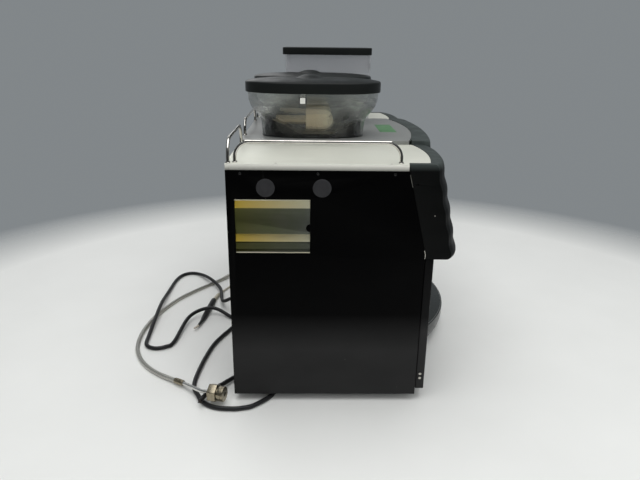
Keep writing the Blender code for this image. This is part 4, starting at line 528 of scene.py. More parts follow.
BOOT_SHAPE = ((0.2, 0.0042), (0.204, 0.0062), (0.215, 0.0069), (0.4, 0.0069), (0.42, 0.0064), (0.44, 0.0064),
              (0.46, 0.0069), (0.66, 0.0069), (0.7, 0.006), (0.76, 0.0052), (0.8, 0.004), (0.92, 0.003))
COLLAR_SHAPE = ((0.0, 0.003), (0.01, 0.0046), (0.05, 0.005), (0.1, 0.0046), (0.19, 0.005), (0.21, 0.0046))
TIP_SHAPE = ((0.9, 0.0024), (0.93, 0.003), (0.96, 0.0025), (0.985, 0.003), (1.0, 0.0014))
smooth_boot = bezier("boot_line", [at(*point) for point in BOOT_ROUTE], 0.001)
boot_line = curve_places(smooth_boot, 12)
bpy.data.objects.remove(smooth_boot)
settle("lead_boot", tube(boot_line, BOOT_SHAPE), boot_black, "signal_boot")
collar = settle("lead_collar", tube(boot_line, COLLAR_SHAPE), ivory, body="machine")
settle("hook_tip", tube(boot_line, TIP_SHAPE), tip_pale, body="machine")

core_dark = Finish("core_dark", "lead_black", (0.03, 0.022, 0.016), 0.5)
mains_end, mains_way = at(*MAINS_ROUTE[-1]), (at(*MAINS_ROUTE[-1]) - at(*MAINS_ROUTE[-2])).normalized()
cores = bmesh.new()
for angle in (90, 210, 330):
    offset = mains_way.cross(UP).normalized() * math.cos(math.radians(angle)) + UP * math.sin(math.radians(angle))
    spun([(-0.002, 0), (-0.002, 0.0014), (0.0034, 0.0014), (0.0034, 0.0009), (0.0052, 0.0009), (0.0052, 0)],
         mains_end + offset * 0.0022, mains_way + offset * 0.1, 16, builder=cores)
cores = settle("mains_cores", cores, core_dark, body="machine")

relief_profile = [(-0.0005, 0), (-0.0005, 0.0092), (0.003, 0.0092), (0.004, 0.0082)]
for ring in range(5):
    start, radius = 0.005 + ring * 0.0046, 0.008 - ring * 0.0005
    relief_profile += [(start, radius), (start + 0.0028, radius - 0.0002), (start + 0.003, radius - 0.0012),
                       (start + 0.0044, radius - 0.0014)]
relief_profile += [(0.029, 0.0056), (0.03, 0.005), (0.03, 0)]
relief = settle("lead_relief", spun(relief_profile, at(*MAINS_ROUTE[0]), BACKWARD), rubber, body="machine")

for name, far_end, stiffness, others in (("mains_cord", "bare", "medium", [cores, relief]),
                                         ("braided_hose", "fitting", "stiff", [tail, nut, ferrule]),
                                         ("signal_cord", "connector", "medium", [collar])):
    piece, leaves, length, diameter = leads[name]
print("leads declared:", *leads)

# %% [markdown]
# ## Black sheet body
# The sides are 2 mm steel sheet with a black satin powder coat. A painted reflection of the pale table lightens the
# black towards the foot, and small specks and fine rubs break the black. Each side sheet is a copy of its CAD node
# with its cut edges rounded by half a millimetre, because the thin line of light there shows the sheet's edge. The
# back sheet is carved with three rows of vents.

# %% Powder coat and the sheet pieces
coat = Finish("black_powder_coat", "black_sheet", (0.004, 0.004, 0.0045), 0.4,
              levels={"Specular IOR Level": 0.035})
grime_and_reflection_noise = coat.noise(9, (1, 1, 2.2), 6)
# Painted reflection: the black is painted lighter towards the foot, as the pale table would show in it, and noise
# breaks it up.
table_reflection = coat.maths("MULTIPLY", coat.along("Z", 0.198, 0.118), coat.span(grime_and_reflection_noise, 0.3, 0.7, 0.82, 1.0))
specks = coat.span(coat.node("TexVoronoi", {"Vector": coat.place, "Scale": 34.0}), 0.045, 0.03, 0, 1)
rare = coat.span(coat.noise(21), 0.6, 0.66, 0, 0.8)
rubs = coat.maths("MULTIPLY", coat.span(coat.noise(300, (0.2, 0.25, 0.012), 1), 0.74, 0.8, 0, 1),
                  coat.span(coat.noise(14), 0.52, 0.62, 0, 0.5))
coated = coat.between(table_reflection, (0.001, 0.001, 0.0011), (0.027, 0.027, 0.027))
coated = coat.between(coat.maths("MULTIPLY", specks, rare), coated, (0.08, 0.08, 0.07))
coat.colour(coat.between(rubs, coated, (0.028, 0.028, 0.028)))
coat.roughness(coat.span(grime_and_reflection_noise, 0.3, 0.7, 0.34, 0.5))
coat.grained(1500, 0.12, 0.0001, detail=1)
for label in ("left", "right"):
    dressed(f"side_sheet_{label}", f"side_panel_{label}", coat, 0.0006)
VENT_LOW, VENT_HIGH, VENT_PITCH, VENT_COLUMNS, VENT_RISE = 0.09, 0.115, 0.036, 18, 0.0045
vents = [slab((VENT_LOW + VENT_PITCH * column, VENT_HIGH + VENT_PITCH * column), (-0.01, 0.012),
              (height, height + VENT_RISE)) for column in range(VENT_COLUMNS) for height in (0.405, 0.417, 0.429)]
settle("back_sheet", carved(copied("rear_panel"), *vents), coat, "rear_panel", corner=5)
print("black sheets made")

# %% [markdown]
# ## Stainless top sheets
# The side strips are brushed along the depth. Noise that is stretched far along Y gives the grain, both in the
# roughness and as a very low bump, so the highlight breaks up across the grain as it does on real brushed
# sheet. The strip's folded edge is part of it. Its colour is painted dark at the foot as painted shade and light
# along the top as a painted highlight. The centre deck is a darker steel with the same grain.


# %% Brushed steel tops
def brushed(name, slot, dark, light, rough, stretch, metallic=1.0, fold=None):
    """Steel with a grain along its long axis. A low metallic value is a steel that scatters the light widely.
    A fold gives the heights between which a folded edge turns from a painted shade at its foot to a painted
    highlight at its top."""
    steel = Finish(name, slot, light, rough, metallic)
    grain = steel.noise(1500, stretch, 4)
    cloud = steel.noise(11, detail=5)
    tone = steel.between(steel.maths("ADD", steel.span(grain, 0.3, 0.7, 0, 0.7),
                                     steel.span(cloud, 0.35, 0.7, 0, 0.3)), dark, light)
    if fold:
        # Painted shade and highlight: the folded edge is painted dark at its foot and bright along its top.
        edge = steel.between(steel.along("Z", *fold), (0.2, 0.2, 0.18), (0.9, 0.89, 0.81))
        tone = steel.between(steel.along("Z", TOP - 0.0008, TOP - 0.0003), edge, tone)
    steel.colour(tone)
    steel.roughness(steel.span(grain, 0.25, 0.75, rough - 0.07, rough + 0.1))
    steel.bump(grain, 0.1, 0.0001)
    return steel


ALONG_DEPTH, ALONG_WIDTH = (1, 0.006, 1), (0.006, 1, 1)
STRIP_FOOT, FOLD_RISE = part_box("top_strip_left")[0].z, 0.0095
strip_steel = brushed("brushed_strip", "stainless", (0.6, 0.605, 0.53), (0.72, 0.725, 0.64), 0.46, ALONG_DEPTH, 0.3,
                      (STRIP_FOOT, STRIP_FOOT + FOLD_RISE))
deck_grey = brushed("brushed_deck", "deck_steel", (0.19, 0.195, 0.187), (0.25, 0.255, 0.245), 0.38, ALONG_DEPTH,
                    0.25)
plate_steel = brushed("brushed_plate", "stainless", (0.42, 0.41, 0.4), (0.6, 0.59, 0.57), 0.36, ALONG_WIDTH)
for label in ("left", "right"):
    dressed(f"strip_{label}", f"top_strip_{label}", strip_steel, 0.0008, 3)
dressed("deck_sheet", "centre_deck", deck_grey, 0.0012, 3)
dressed("lead_plate", "connection_plate", plate_steel, 0.0005)

patch_green = Finish("green_patch", "deck_steel", (0.03, 0.2, 0.05), 0.45)
patch_green.mottled(30, (0.035, 0.13, 0.045), (0.11, 0.24, 0.11))
patch = slab((0.345, 0.475), (0.318, 0.358), (DECK - 0.0002, DECK + 0.0002))
settle("deck_patch", eased(patch, 0.004, 4), patch_green, body="machine")
print("tops made")

# %% [markdown]
# ## Cover plate with pressed bands
# The opening in the left side, under the plugs, is closed by a yellow passivated plate. Two bands on it are pressed
# so that they lean back and catch the light from above, with thin flanges above and below. The plate is therefore
# one cross section, drawn once and extruded along the depth. Its colour also paints the light. The bands are painted
# bright gold and the flanges paler as painted highlights, and the flat field is painted dark olive as painted shade.

# %% Pressed cover plate
plate_low, plate_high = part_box("cover_plate")
COVER_REAR, COVER_FRONT = 0.0148, 0.1537
SECTION = [  # side, height
    (0.0002, 0.4307), (0.0002, 0.4286), (0.0034, 0.428), (0.004, 0.4274), (0.0011, 0.4146), (0.0013, 0.4138),
    (0.0014, 0.39), (0.0014, 0.3642), (0.004, 0.3632), (0.004, 0.3626), (0.001, 0.3496), (0.0011, 0.3489),
    (0.0026, 0.3486), (0.0026, 0.347), (0.0012, 0.3466), (0.0012, 0.3345), (0.003, 0.3341), (0.003, 0.3326),
    (0.0011, 0.3322), (0.0002, 0.3288), (0.0002, 0.3268), (0.006, 0.3268), (0.006, 0.4307)]
plate = shell([[at(side, depth, height) for side, height in SECTION] for depth in (COVER_REAR, COVER_FRONT)])
notch = spun([(-0.02, 0), (-0.02, 0.0075), (0.02, 0.0075), (0.02, 0)], at(0, COVER_FRONT, 0.3758), ACROSS)
plate = carved(plate, notch)
zinc = Finish("yellow_passivated", "passivated", (0.3, 0.28, 0.15), 0.36, 0.85)
height = zinc.node("SeparateXYZ", {"Vector": zinc.place}, output=2)


def band(low, high, soft=0.0006):
    """Mask for the heights between two edges."""
    return zinc.maths("MULTIPLY", zinc.span(height, low - soft, low + soft, 0, 1),
                      zinc.span(height, high - soft, high + soft, 1, 0))


towards_front = zinc.along("Y", BACK - COVER_REAR, BACK - COVER_FRONT)
# Painted shade on the flat field and painted highlight on the leaning bands: one zinc skin, painted dark olive on the
# field and bright gold on the bands.
shaded_field = zinc.between(towards_front, (0.062, 0.06, 0.014), (0.085, 0.092, 0.08))
shaded_field = zinc.between(zinc.span(zinc.noise(26, (1, 1, 1), 5), 0.4, 0.75, 0, 0.5), shaded_field, (0.05, 0.064, 0.022))
lit_gold = zinc.between(towards_front, (0.66, 0.46, 0.06), (0.62, 0.6, 0.44))
lit_bands = zinc.maths("ADD", band(0.4142, 0.4278), band(0.3492, 0.363))
# Painted highlight: the thin flanges above and below are painted pale, as if they catch the light.
edges = zinc.maths("ADD", band(0.4284, 0.432), band(0.325, 0.3292))
skin = zinc.between(lit_bands, shaded_field, lit_gold)
zinc.colour(zinc.between(edges, skin, (0.8, 0.76, 0.58)))
zinc.roughness(zinc.span(zinc.noise(180, (1, 0.1, 1)), 0.3, 0.7, 0.28, 0.46))
settle("pressed_cover", eased(plate, 0.00025, 1, 40), zinc, "cover_plate")
print("cover plate", [round(v, 3) for v in plate_high - plate_low])

# %% [markdown]
# ## Plugs and screws
# Two round rubber plugs close the upper holes. Each is a shallow dome with a lip, so it is one spun profile.
# The screws under the trim hold the side sheet to the frame: a low domed head with a hexagon socket.

# %% Plugs and screws
PLUG_HEIGHT, SCREW_HEIGHT = 0.4525, 0.479
PLUG_PLACES = {"hole_plug_rear": 0.0721, "hole_plug_front": 0.1751}
plug_grey = Finish("plug_rubber", "rubber_black", (0.022, 0.022, 0.024), 0.66, levels={"Specular IOR Level": 0.3})
plug_grey.mottled(120, (0.016, 0.016, 0.018), (0.03, 0.03, 0.032))
for node, depth in PLUG_PLACES.items():
    settle(node.replace("hole_", "") + "_cap", spun(
        [(-0.0012, 0), (-0.0012, 0.0136), (-0.001, 0.0152), (-0.0006, 0.0164), (-0.0002, 0.017), (0.0002, 0.017),
         (0.0002, 0.0137), (0.004, 0.0137), (0.004, 0)], at(0, depth, PLUG_HEIGHT), ACROSS, 56), plug_grey, node)

screw_dark = Finish("screw_black", "black_sheet", (0.02, 0.02, 0.02), 0.35, 0.6)
screw_bright = Finish("screw_steel", "stainless", (0.55, 0.53, 0.48), 0.28, 1.0)


def screws(name, places, way, radius, finish, rise=0.0011):
    """Domed screw heads with a socket, all in one piece."""
    builder = bmesh.new()
    for place in places:
        spun([(-0.001, 0), (-0.001, radius), (rise * 0.35, radius), (rise * 0.8, radius * 0.8),
              (rise, radius * 0.5), (rise * 0.98, radius * 0.42), (rise * 0.2, radius * 0.38), (rise * 0.2, 0)],
             place, way, 20, builder=builder)
    return settle(name, builder, finish, body="machine")


TRIM_SCREWS = (0.0268, 0.1673, 0.3069)
screws("side_screws_left", [at(0, depth, SCREW_HEIGHT) for depth in TRIM_SCREWS], -ACROSS, 0.0026, screw_dark, 0.0009)
screws("side_screws_right", [at(WIDTH, depth, SCREW_HEIGHT) for depth in TRIM_SCREWS], ACROSS, 0.0026,
       screw_dark, 0.0003)
screws("strip_screws_left", [at(0.0035, depth, TOP) for depth in (0.091, 0.3)], UP, 0.0022, screw_bright, 0.001)
screws("strip_screws_right", [at(WIDTH - 0.0035, depth, TOP) for depth in (0.091, 0.3)], UP, 0.0022,
       screw_bright, 0.001)
screws("back_screws", [at(side, 0, height) for side in (0.018, 0.41, 0.802) for height in (0.1, 0.3, 0.47)
                       if (side, height) != (0.41, 0.1)], BACKWARD, 0.0032, screw_dark)
print("plugs and screws made")

# %% [markdown]
# ## Cup rails
# Five bent chrome rods keep cups on the top. A bent rod is a curve with a round bevel: straight up from a
# foot, through a quarter circle, along, and down again. The points on the bends are close, so the bends stay
# round.

# %% Chrome rails
chrome = Finish("rail_chrome", "chrome_rod", (0.74, 0.73, 0.71), 0.1, 1.0)
chrome.handled(70, 0.4, 0.75, 0.07, 0.24, 5)
chrome.colour(chrome.between(chrome.span(chrome.noise(38, detail=5), 0.45, 0.75, 0, 1), (0.62, 0.6, 0.56),
                             (0.44, 0.42, 0.38)))
low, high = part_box("side_rail_left")
ROD = (high.x - low.x) / 2


def rail(name, start, end, foot, top, corner):
    """A rod rail between two feet, with a small collar on each."""
    along = (end - start).normalized()
    bend = [math.pi / 2 * step / 10 for step in range(11)]
    halves = [[base + UP * (foot + 0.0004), base + UP * ((foot + top - corner) / 2)]
              + [base + inwards * (corner * (1 - math.cos(angle))) + UP * (top - corner * (1 - math.sin(angle)))
                 for angle in bend] for base, inwards in ((start, along), (end, -along))]
    points = [*halves[0], (start + end) / 2 + UP * top, *reversed(halves[1])]
    hang(bezier(name + "_rod", points, 2 * ROD, 6), chrome, name)
    collars = bmesh.new()
    for place in (start, end):
        spun([(foot + 0.0001, ROD), (foot + 0.0001, ROD * 1.5), (foot + 0.001, ROD * 1.5), (foot + 0.0016, ROD * 1.3),
              (foot + 0.003, ROD * 1.2), (foot + 0.0032, ROD)], place, UP, 24, builder=collars)
    settle(name + "_feet", collars, chrome, body="machine")


for name, foot, corner in (("side_rail_left", TOP, 0.029), ("side_rail_right", TOP, 0.029),
                           ("rear_rail_left", TOP, 0.033), ("rear_rail_right", TOP, 0.033),
                           ("rear_rail_centre", DECK, 0.027)):
    low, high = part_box(name)
    middle = (low + high) / 2
    start, end = Vector((low.x + ROD, middle.y, 0)), Vector((high.x - ROD, middle.y, 0))
    if "side" in name:
        start, end = Vector((middle.x, high.y - ROD, 0)), Vector((middle.x, low.y + ROD, 0))
    rail(name, start, end, foot, high.z - ROD, corner)
print("rails made")

# %% [markdown]
# ## Moulded front
# The front is three dark grey mouldings. Towards the top sheets' height their colour is painted a lighter grey as
# painted light from above, and the flank below is painted near black as painted shade. The side ones have a scalloped
# front edge that leans forward to the foot.
# An outline in plan is extruded level by level, and each level is drawn forward or back by the lean, the scallops
# and the rounded foot and rim. The sheet's outline is then carved from the top, which leaves the raised rim.

# %% Side mouldings with scallops
moulded = Finish("charcoal_moulding", "charcoal_plastic", (0.018, 0.021, 0.02), 0.46,
                 levels={"Specular IOR Level": 0.1})
# Painted light and shade: a lighter grey towards the top sheets' height, as if lit from above, and near black on the
# flank below.
painted_lit_top = moulded.along("Z", TOP - 0.012, TOP)
grey = moulded.between(moulded.noise(20, detail=5), (0.038, 0.046, 0.044), (0.052, 0.062, 0.059))
moulded.colour(moulded.between(painted_lit_top, (0.0022, 0.0025, 0.0024), grey))
moulded.handled(35, 0.35, 0.7, 0.4, 0.56, 5)
moulded.grained(1100, 0.22, 0.00012, detail=2)

SPLIT = 0.2157
SEAM = ((0.0, 0.372), (0.31, 0.372), (0.3244, 0.3732), (0.485, 0.3332), (0.6, 0.3332))
ROOT, BULGE, LEAN = 0.382, 0.028, 0.222066
SCALLOP_PITCH, SCALLOP_START, SCALLOP_HEIGHT = 0.041, 0.029, 0.0012
FOOT_ROUND, RIM_ROUND, RIM_RISE = 0.01, 0.006, 0.0008
EDGE = ((0.0, 0.0), (0.05, 0.26), (0.11, 0.46), (0.17, 0.61), (0.28, 0.79), (0.41, 0.91), (0.54, 0.98),
        (0.66, 1.0), (0.78, 0.96), (0.88, 0.86), (0.95, 0.7), (0.985, 0.5), (1.0, 0.22))


def seam_depth(height):
    """Depth of the seam behind the moulding at a height."""
    for (low, first_depth), (high, next_depth) in zip(SEAM, SEAM[1:]):
        if height <= high:
            return first_depth + (next_depth - first_depth) * (height - low) / (high - low)
    return SEAM[-1][1]


def smooth_row(row, count):
    """Evenly spread places on a smooth line through a row of (a, b) pairs."""
    knots = [Vector((a, b, 0)) for a, b in row]
    knots = [knots[0] * 2 - knots[1], *knots, knots[-1] * 2 - knots[-2]]
    dense = []
    for a, b, c, d in zip(knots, knots[1:], knots[2:], knots[3:]):
        for step in range(16):
            t = step / 16
            dense.append((b * 2 + (c - a) * t + (a * 2 - b * 5 + c * 4 - d) * t ** 2
                          + (b * 3 - a - c * 3 + d) * t ** 3) / 2)
    dense.append(knots[-2])
    return [along_route(dense, share / (count - 1))[0] for share in range(count)]


def drawn_back(height, top):
    """How far the rounded foot and rim draw the front back at a height."""
    low = min(1.0, max(0.0, (HEAD_FOOT + FOOT_ROUND - height) / FOOT_ROUND))
    high = min(1.0, max(0.0, (height - top + RIM_ROUND) / RIM_ROUND))
    return FOOT_ROUND * (1 - math.sqrt(1 - low ** 2)) + RIM_ROUND * (1 - math.sqrt(1 - high ** 2))


def levels(top, straight):
    """Heights of the rings, close together at the foot and the rim."""
    low = [HEAD_FOOT + FOOT_ROUND * (1 - math.cos(math.pi / 2 * step / 7)) for step in range(7)]
    high = [top - RIM_ROUND * (1 - math.sin(math.pi / 2 * step / 5)) for step in range(1, 6)]
    first_height, last_height = HEAD_FOOT + FOOT_ROUND, top - RIM_ROUND
    upright = [first_height + (last_height - first_height) * step / straight for step in range(straight + 1)]
    return low + upright + high


def leaf(side_low, side_high, peak, end, rear, grow):
    """Plan of a top sheet: straight sides and a leaf-shaped front end."""
    middle, half = (side_low + side_high) / 2, (side_high - side_low) / 2 + grow
    bow = [(middle + half * share, peak + grow - (peak - end) * share ** 2)
           for share in (1 - 2 * step / 24 for step in range(25))]
    return [(middle - half, rear), (middle + half, rear), *bow]


KEY_SLOT = ((0.3445, 0.3525), (0.459, 0.4622))  # depths, heights
for label, flipped in (("left", False), ("right", True)):
    front_row = smooth_row(EDGE, 40)
    rings = []
    for height in sorted(levels(TOP + RIM_RISE, 56) + [0.3244, 0.485]):
        fall = max(0.0, TOP - 0.002 - height)
        lean = LEAN * fall + SCALLOP_HEIGHT * (1 - math.cos(2 * math.pi * (fall - SCALLOP_START) / SCALLOP_PITCH))
        back = drawn_back(height, TOP + RIM_RISE)
        ring = [(SPLIT, seam_depth(height) + 0.0003), (0.0005, seam_depth(height) + 0.0003)]
        ring += [(0.0005 + (SPLIT - 0.0005) * share.x, ROOT + BULGE * share.y + lean - back) for share in front_row]
        rings.append([at(WIDTH - side if flipped else side, depth, height) for side, depth in ring])
    plan = leaf(0.014, SPLIT, 0.3847, 0.3725, 0.2, 0.0003)
    corner_plan = [(-0.01, 0.2), (SPLIT + 0.01, 0.2), (SPLIT + 0.01, 0.34), (0.01, 0.3323), (-0.01, 0.3323)]
    cutters = [upright_prism([(WIDTH - side if flipped else side, depth) for side, depth in outline],
                             TOP - 0.0023, TOP + 0.02) for outline in (plan, corner_plan)]
    if not flipped:
        cutters.append(eased(slab((-0.01, 0.002), *KEY_SLOT), 0.0014, 3))
    settle(f"moulding_{label}", eased(carved(shell(rings), *cutters), 0.0005, 2, 40), moulded, f"fascia_{label}")
glints = bmesh.new()
for low_height, high_height in ((0.456, 0.479), (0.3165, 0.333)):
    for step in range(6):
        near = low_height + (high_height - low_height) * step / 6
        far = near + (high_height - low_height) / 6
        ring = [[at(side, seam_depth(height) - back, height) for side, back in
                 ((-0.00015, 0.0), (0.0008, 0.0), (0.0008, 0.0011), (-0.00015, 0.0011))] for height in (near, far)]
        merged(glints, shell(ring))
settle("seam_edge", glints, screw_bright, body="machine")
screws("moulding_pin", [at(0.0006, 0.385, 0.4015)], -ACROSS, 0.0011, screw_bright, 0.0004)
print("side mouldings made")

# %% [markdown]
# ## Head over the cups
# The centre moulding is broader and smoother: it bows forward and rounds off at both ends. It is made the same
# way, then carved for the deck, the control panel and the spout's stem.

# %% Centre moulding
PEAK, PEAK_END, CORNER_DEPTH, HEAD_SLOPE = 0.43, 0.4123, 0.014, 0.12
CORNER = ((1.0, 1.0), (0.997, 0.78), (0.985, 0.52), (0.96, 0.25), (0.92, 0.07), (0.88, 0.01))
HALF = MIDDLE - SPLIT
half_row = [(share, PEAK - (PEAK - PEAK_END) * share ** 2 - CORNER_DEPTH * drop) for share, drop in CORNER]
middle_row = [(share, PEAK - (PEAK - PEAK_END) * share ** 2)
              for share in (0.84 - 1.68 * step / 40 for step in range(41))]
row = half_row + middle_row + [(-share, depth) for share, depth in reversed(half_row)]
rings = []
for height in levels(DECK + RIM_RISE, 18):
    lean = HEAD_SLOPE * max(0.0, DECK - height)
    back = drawn_back(height, DECK + RIM_RISE)
    ring = [(MIDDLE - HALF, 0.3725), (MIDDLE + HALF, 0.3725)]
    ring += [(MIDDLE + HALF * share, depth + lean - back) for share, depth in row]
    rings.append([at(side, depth, height) for side, depth in ring])
panel_slope = math.atan(HEAD_SLOPE)
panel_up = Vector((0, math.sin(panel_slope), math.cos(panel_slope)))
panel_out = Vector((0, -math.cos(panel_slope), math.sin(panel_slope)))
panel_middle = at(MIDDLE, 0.4292, 0.41)
POCKET_SIZE, POCKET_LIFT = (0.25, 0.11, 0.0492), 0.0154
pocket = block(POCKET_SIZE, (0, 0, POCKET_LIFT))
panel_turn = Matrix((ACROSS, panel_up, panel_out)).transposed().to_4x4()
bmesh.ops.transform(pocket, matrix=Matrix.Translation(panel_middle) @ panel_turn, verts=pocket.verts)
stem_hole = slab((MIDDLE - 0.0184, MIDDLE + 0.0184), (0.3856, 0.4084), (0.3, 0.395))
deck_hole = upright_prism(leaf(SPLIT, WIDTH - SPLIT, 0.394, 0.3655, 0.3, 0.0003), DECK - 0.0099, DECK + 0.02)
settle("moulding_head", eased(carved(shell(rings), pocket, stem_hole, deck_hole), 0.0006, 2, 40), moulded,
       "fascia_centre")
print("head made")

# %% [markdown]
# ## Controls
# The panel is a gloss black plate in the head's pocket, with a display window and four push buttons. A thin bright
# ring round each button and a bezel round the display are what a maker adds at such joints. They stand on the panel
# and stay still, while each button moves by itself.

# %% Control panel, display and buttons
gloss = Finish("gloss_black", "gloss_black", (0.006, 0.006, 0.007), 0.12)
gloss.handled(25, 0.4, 0.75, 0.09, 0.22, 5)
glass = Finish("display_glass", "window", (0.01, 0.022, 0.03), 0.06)
lit = glass.maths("MULTIPLY", glass.along("Z", 0.376, 0.444), 0.6)
glass.colour(glass.between(lit, (0.012, 0.03, 0.045), (0.03, 0.07, 0.1)))
button_grey = Finish("button_grey", "button_grey", (0.26, 0.27, 0.28), 0.34)
button_grey.handled(300, 0.3, 0.7, 0.28, 0.42)
dressed("panel_plate", "control_panel", gloss, 0.0008, 3)
dressed("display_pane", "display_window", glass, 0.0004, 2)
BUTTON_ACROSS, BUTTON_LIFT = 0.085, 0.024
BEZEL_SIZE, BEZEL_EDGE = (0.1, 0.072, 1), 0.0022
trims = bmesh.new()
for index in range(1, 5):
    low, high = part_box(f"button_{index}")
    dressed(f"button_cap_{index}", f"button_{index}", button_grey, 0.0006, 3)
    across = -BUTTON_ACROSS if index < 3 else BUTTON_ACROSS
    lift = BUTTON_LIFT if index % 2 else -BUTTON_LIFT
    spun([(-0.0002, 0.01), (0.0005, 0.01), (0.0009, 0.0104), (0.0009, 0.0112), (0.0004, 0.0118),
          (-0.0002, 0.0118), (-0.0002, 0.01)], panel_middle + ACROSS * across + panel_up * lift, panel_out, 40,
         builder=trims)
bezel = bmesh.new()
bmesh.ops.create_grid(bezel, x_segments=1, y_segments=1, size=0.5)
bmesh.ops.scale(bezel, vec=BEZEL_SIZE, verts=bezel.verts)
inner = bmesh.ops.inset_region(bezel, faces=bezel.faces[:], thickness=BEZEL_EDGE, use_even_offset=True)
bmesh.ops.delete(bezel, geom=[face for face in bezel.faces if face not in inner["faces"]], context="FACES_ONLY")
bmesh.ops.solidify(bezel, geom=bezel.faces[:], thickness=0.0008)
bmesh.ops.transform(bezel, matrix=Matrix.Translation(panel_middle + panel_out * 0.0001) @ panel_turn,
                    verts=bezel.verts)
bmesh.ops.recalc_face_normals(bezel, faces=bezel.faces)
settle("panel_trims", eased(merged(trims, bezel), 0.0002, 1), screw_bright, body="machine")
print("controls made")

# %% [markdown]
# ## Lower front, base and feet
# Under the head the grounds drawer stands on the left and the service door on the right, both bowed and satin
# black. The base is a folded tray in painted steel, on four round rubber feet with a tread ring.

# %% Drawer, door, base and feet
satin = Finish("satin_black", "black_plastic", (0.012, 0.012, 0.013), 0.38, levels={"Specular IOR Level": 0.1})
# The satin black is made lighter towards the foot, and noise breaks it up.
lighter_foot = satin.maths("MULTIPLY", satin.along("Z", 0.19, 0.16),
                        satin.span(satin.noise(12), 0.3, 0.7, 0.8, 1))
satin.colour(satin.between(lighter_foot, (0.0035, 0.0035, 0.0037), (0.024, 0.024, 0.024)))
satin.handled(22, 0.35, 0.7, 0.3, 0.48, 5)
satin.grained(1300, 0.15, 0.0001, detail=1)
painted = Finish("painted_steel", "frame_steel", (0.035, 0.035, 0.036), 0.45, 0.4)
painted.mottled(16, (0.022, 0.022, 0.023), (0.05, 0.05, 0.05), 5)
for node, name in (("drawer_front", "drawer_face"), ("service_door", "door_face")):
    dressed(name, node, satin, 0.0022, 4)
dressed("drawer_bin", "grounds_bin", satin, 0.0008, 2)
dressed("folded_base", "base_tray", painted, 0.0005, 1)
fasteners = bmesh.new()
for height in (0.052, 0.062):
    spun([(-0.001, 0), (-0.001, 0.0028), (0.0004, 0.0028), (0.0008, 0.002), (0.0008, 0)],
         at(0.004, 0.3815, height), -ACROSS, 18, builder=fasteners)
settle("drawer_fasteners", fasteners, screw_bright, body="drawer")
for row in ("rear", "front"):
    for label in ("left", "right"):
        low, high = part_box(f"foot_{row}_{label}")
        middle = (low + high) / 2
        settle(f"rubber_foot_{row}_{label}", spun(
            [(0, 0), (0, 0.0125), (0.001, 0.013), (0.001, 0.0148), (0, 0.0153), (0, 0.0172), (0.0012, 0.0186),
             (high.z * 0.5, 0.0192), (high.z - 0.0012, 0.02), (high.z, 0.0196), (high.z, 0)],
            Vector((middle.x, middle.y, 0)), UP, 40), rubber, f"foot_{row}_{label}")
print("lower front, base and feet made")

# %% [markdown]
# ## Drip tray, grid, spout and steam wand
# From the camera only the tray's nose shows past the drawer, but all show from the front. The nose is glossy,
# the grid is bright steel with slots, and the steam pipe is a curve through its bends with a ball, a grip sleeve
# and a tip with its own profile.

# %% Tray, grid, spout and wand
tray_black = Finish("tray_gloss", "charcoal_plastic", (0.018, 0.021, 0.02), 0.26)
tray_black.handled(16, 0.35, 0.7, 0.2, 0.36, 5)
tray_black.mottled(9, (0.014, 0.017, 0.016), (0.026, 0.03, 0.028))
TRAY_SIDE, TRAY_REACH, TRAY_BULGE = 0.175, 0.508, 0.1


def tray_plan(inset, rear, back=0.0):
    """Plan of the tray: straight sides and a nose bowed round one arc, which `back` draws in."""
    half = MIDDLE - TRAY_SIDE
    arc = (half ** 2 + TRAY_BULGE ** 2) / (2 * TRAY_BULGE) - inset
    bow = [(MIDDLE + (half - inset) * (1 - step / 24), TRAY_REACH - inset - arc - back + math.sqrt(
        arc ** 2 - ((half - inset) * (1 - step / 24)) ** 2)) for step in range(49)]
    return [(TRAY_SIDE + inset, rear), (WIDTH - TRAY_SIDE - inset, rear), *bow]


NOSE_REAR, TRAY_REAR = 0.3738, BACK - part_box("drip_tray")[1].y
tray_levels = [(0.0167, NOSE_REAR, 0.026), (0.0175, NOSE_REAR, 0.0215), (0.0201, NOSE_REAR, 0.015),
               (0.0203, TRAY_REAR, 0.0147), (0.0235, TRAY_REAR, 0.0098), (0.028, TRAY_REAR, 0.0058),
               (0.0335, TRAY_REAR, 0.0028), (0.04, TRAY_REAR, 0.0011), (0.048, TRAY_REAR, 0.0003),
               (0.062, TRAY_REAR, 0.0), (0.0648, TRAY_REAR, 0.0006), (0.066, TRAY_REAR, 0.0018)]
tray = shell([[at(side, depth, height) for side, depth in tray_plan(0, rear, back)]
              for height, rear, back in tray_levels])
basin = upright_prism(tray_plan(0.0188, TRAY_REAR + 0.0025), 0.0228, 0.0616)
rebate = upright_prism(tray_plan(0.0028, TRAY_REAR + 0.0025), 0.0614, 0.08)
settle("tray_body", eased(carved(tray, basin, rebate), 0.0004, 1), tray_black, "drip_tray")
dressed("tray_grid", "drip_grid", plate_steel, 0.0006, 2)
grid_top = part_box("drip_grid")[1].z
nose = upright_prism(tray_plan(0.004, 0.401), grid_top - 0.0003, grid_top + 0.0006)
settle("grid_nose", eased(nose, 0.0004, 2), tray_black, body="grid")
dressed("spout_head", "coffee_spout", satin, 0.003, 4)
lips = bmesh.new()
for side in (MIDDLE - 0.022, MIDDLE + 0.022):
    spun([(0.0, 0.0036), (0.0, 0.005), (0.0008, 0.0054), (0.003, 0.0054), (0.0034, 0.0049)],
         at(side, 0.408, 0.195), UP, 28, builder=lips)
settle("spout_lips", lips, screw_bright, body="spout")

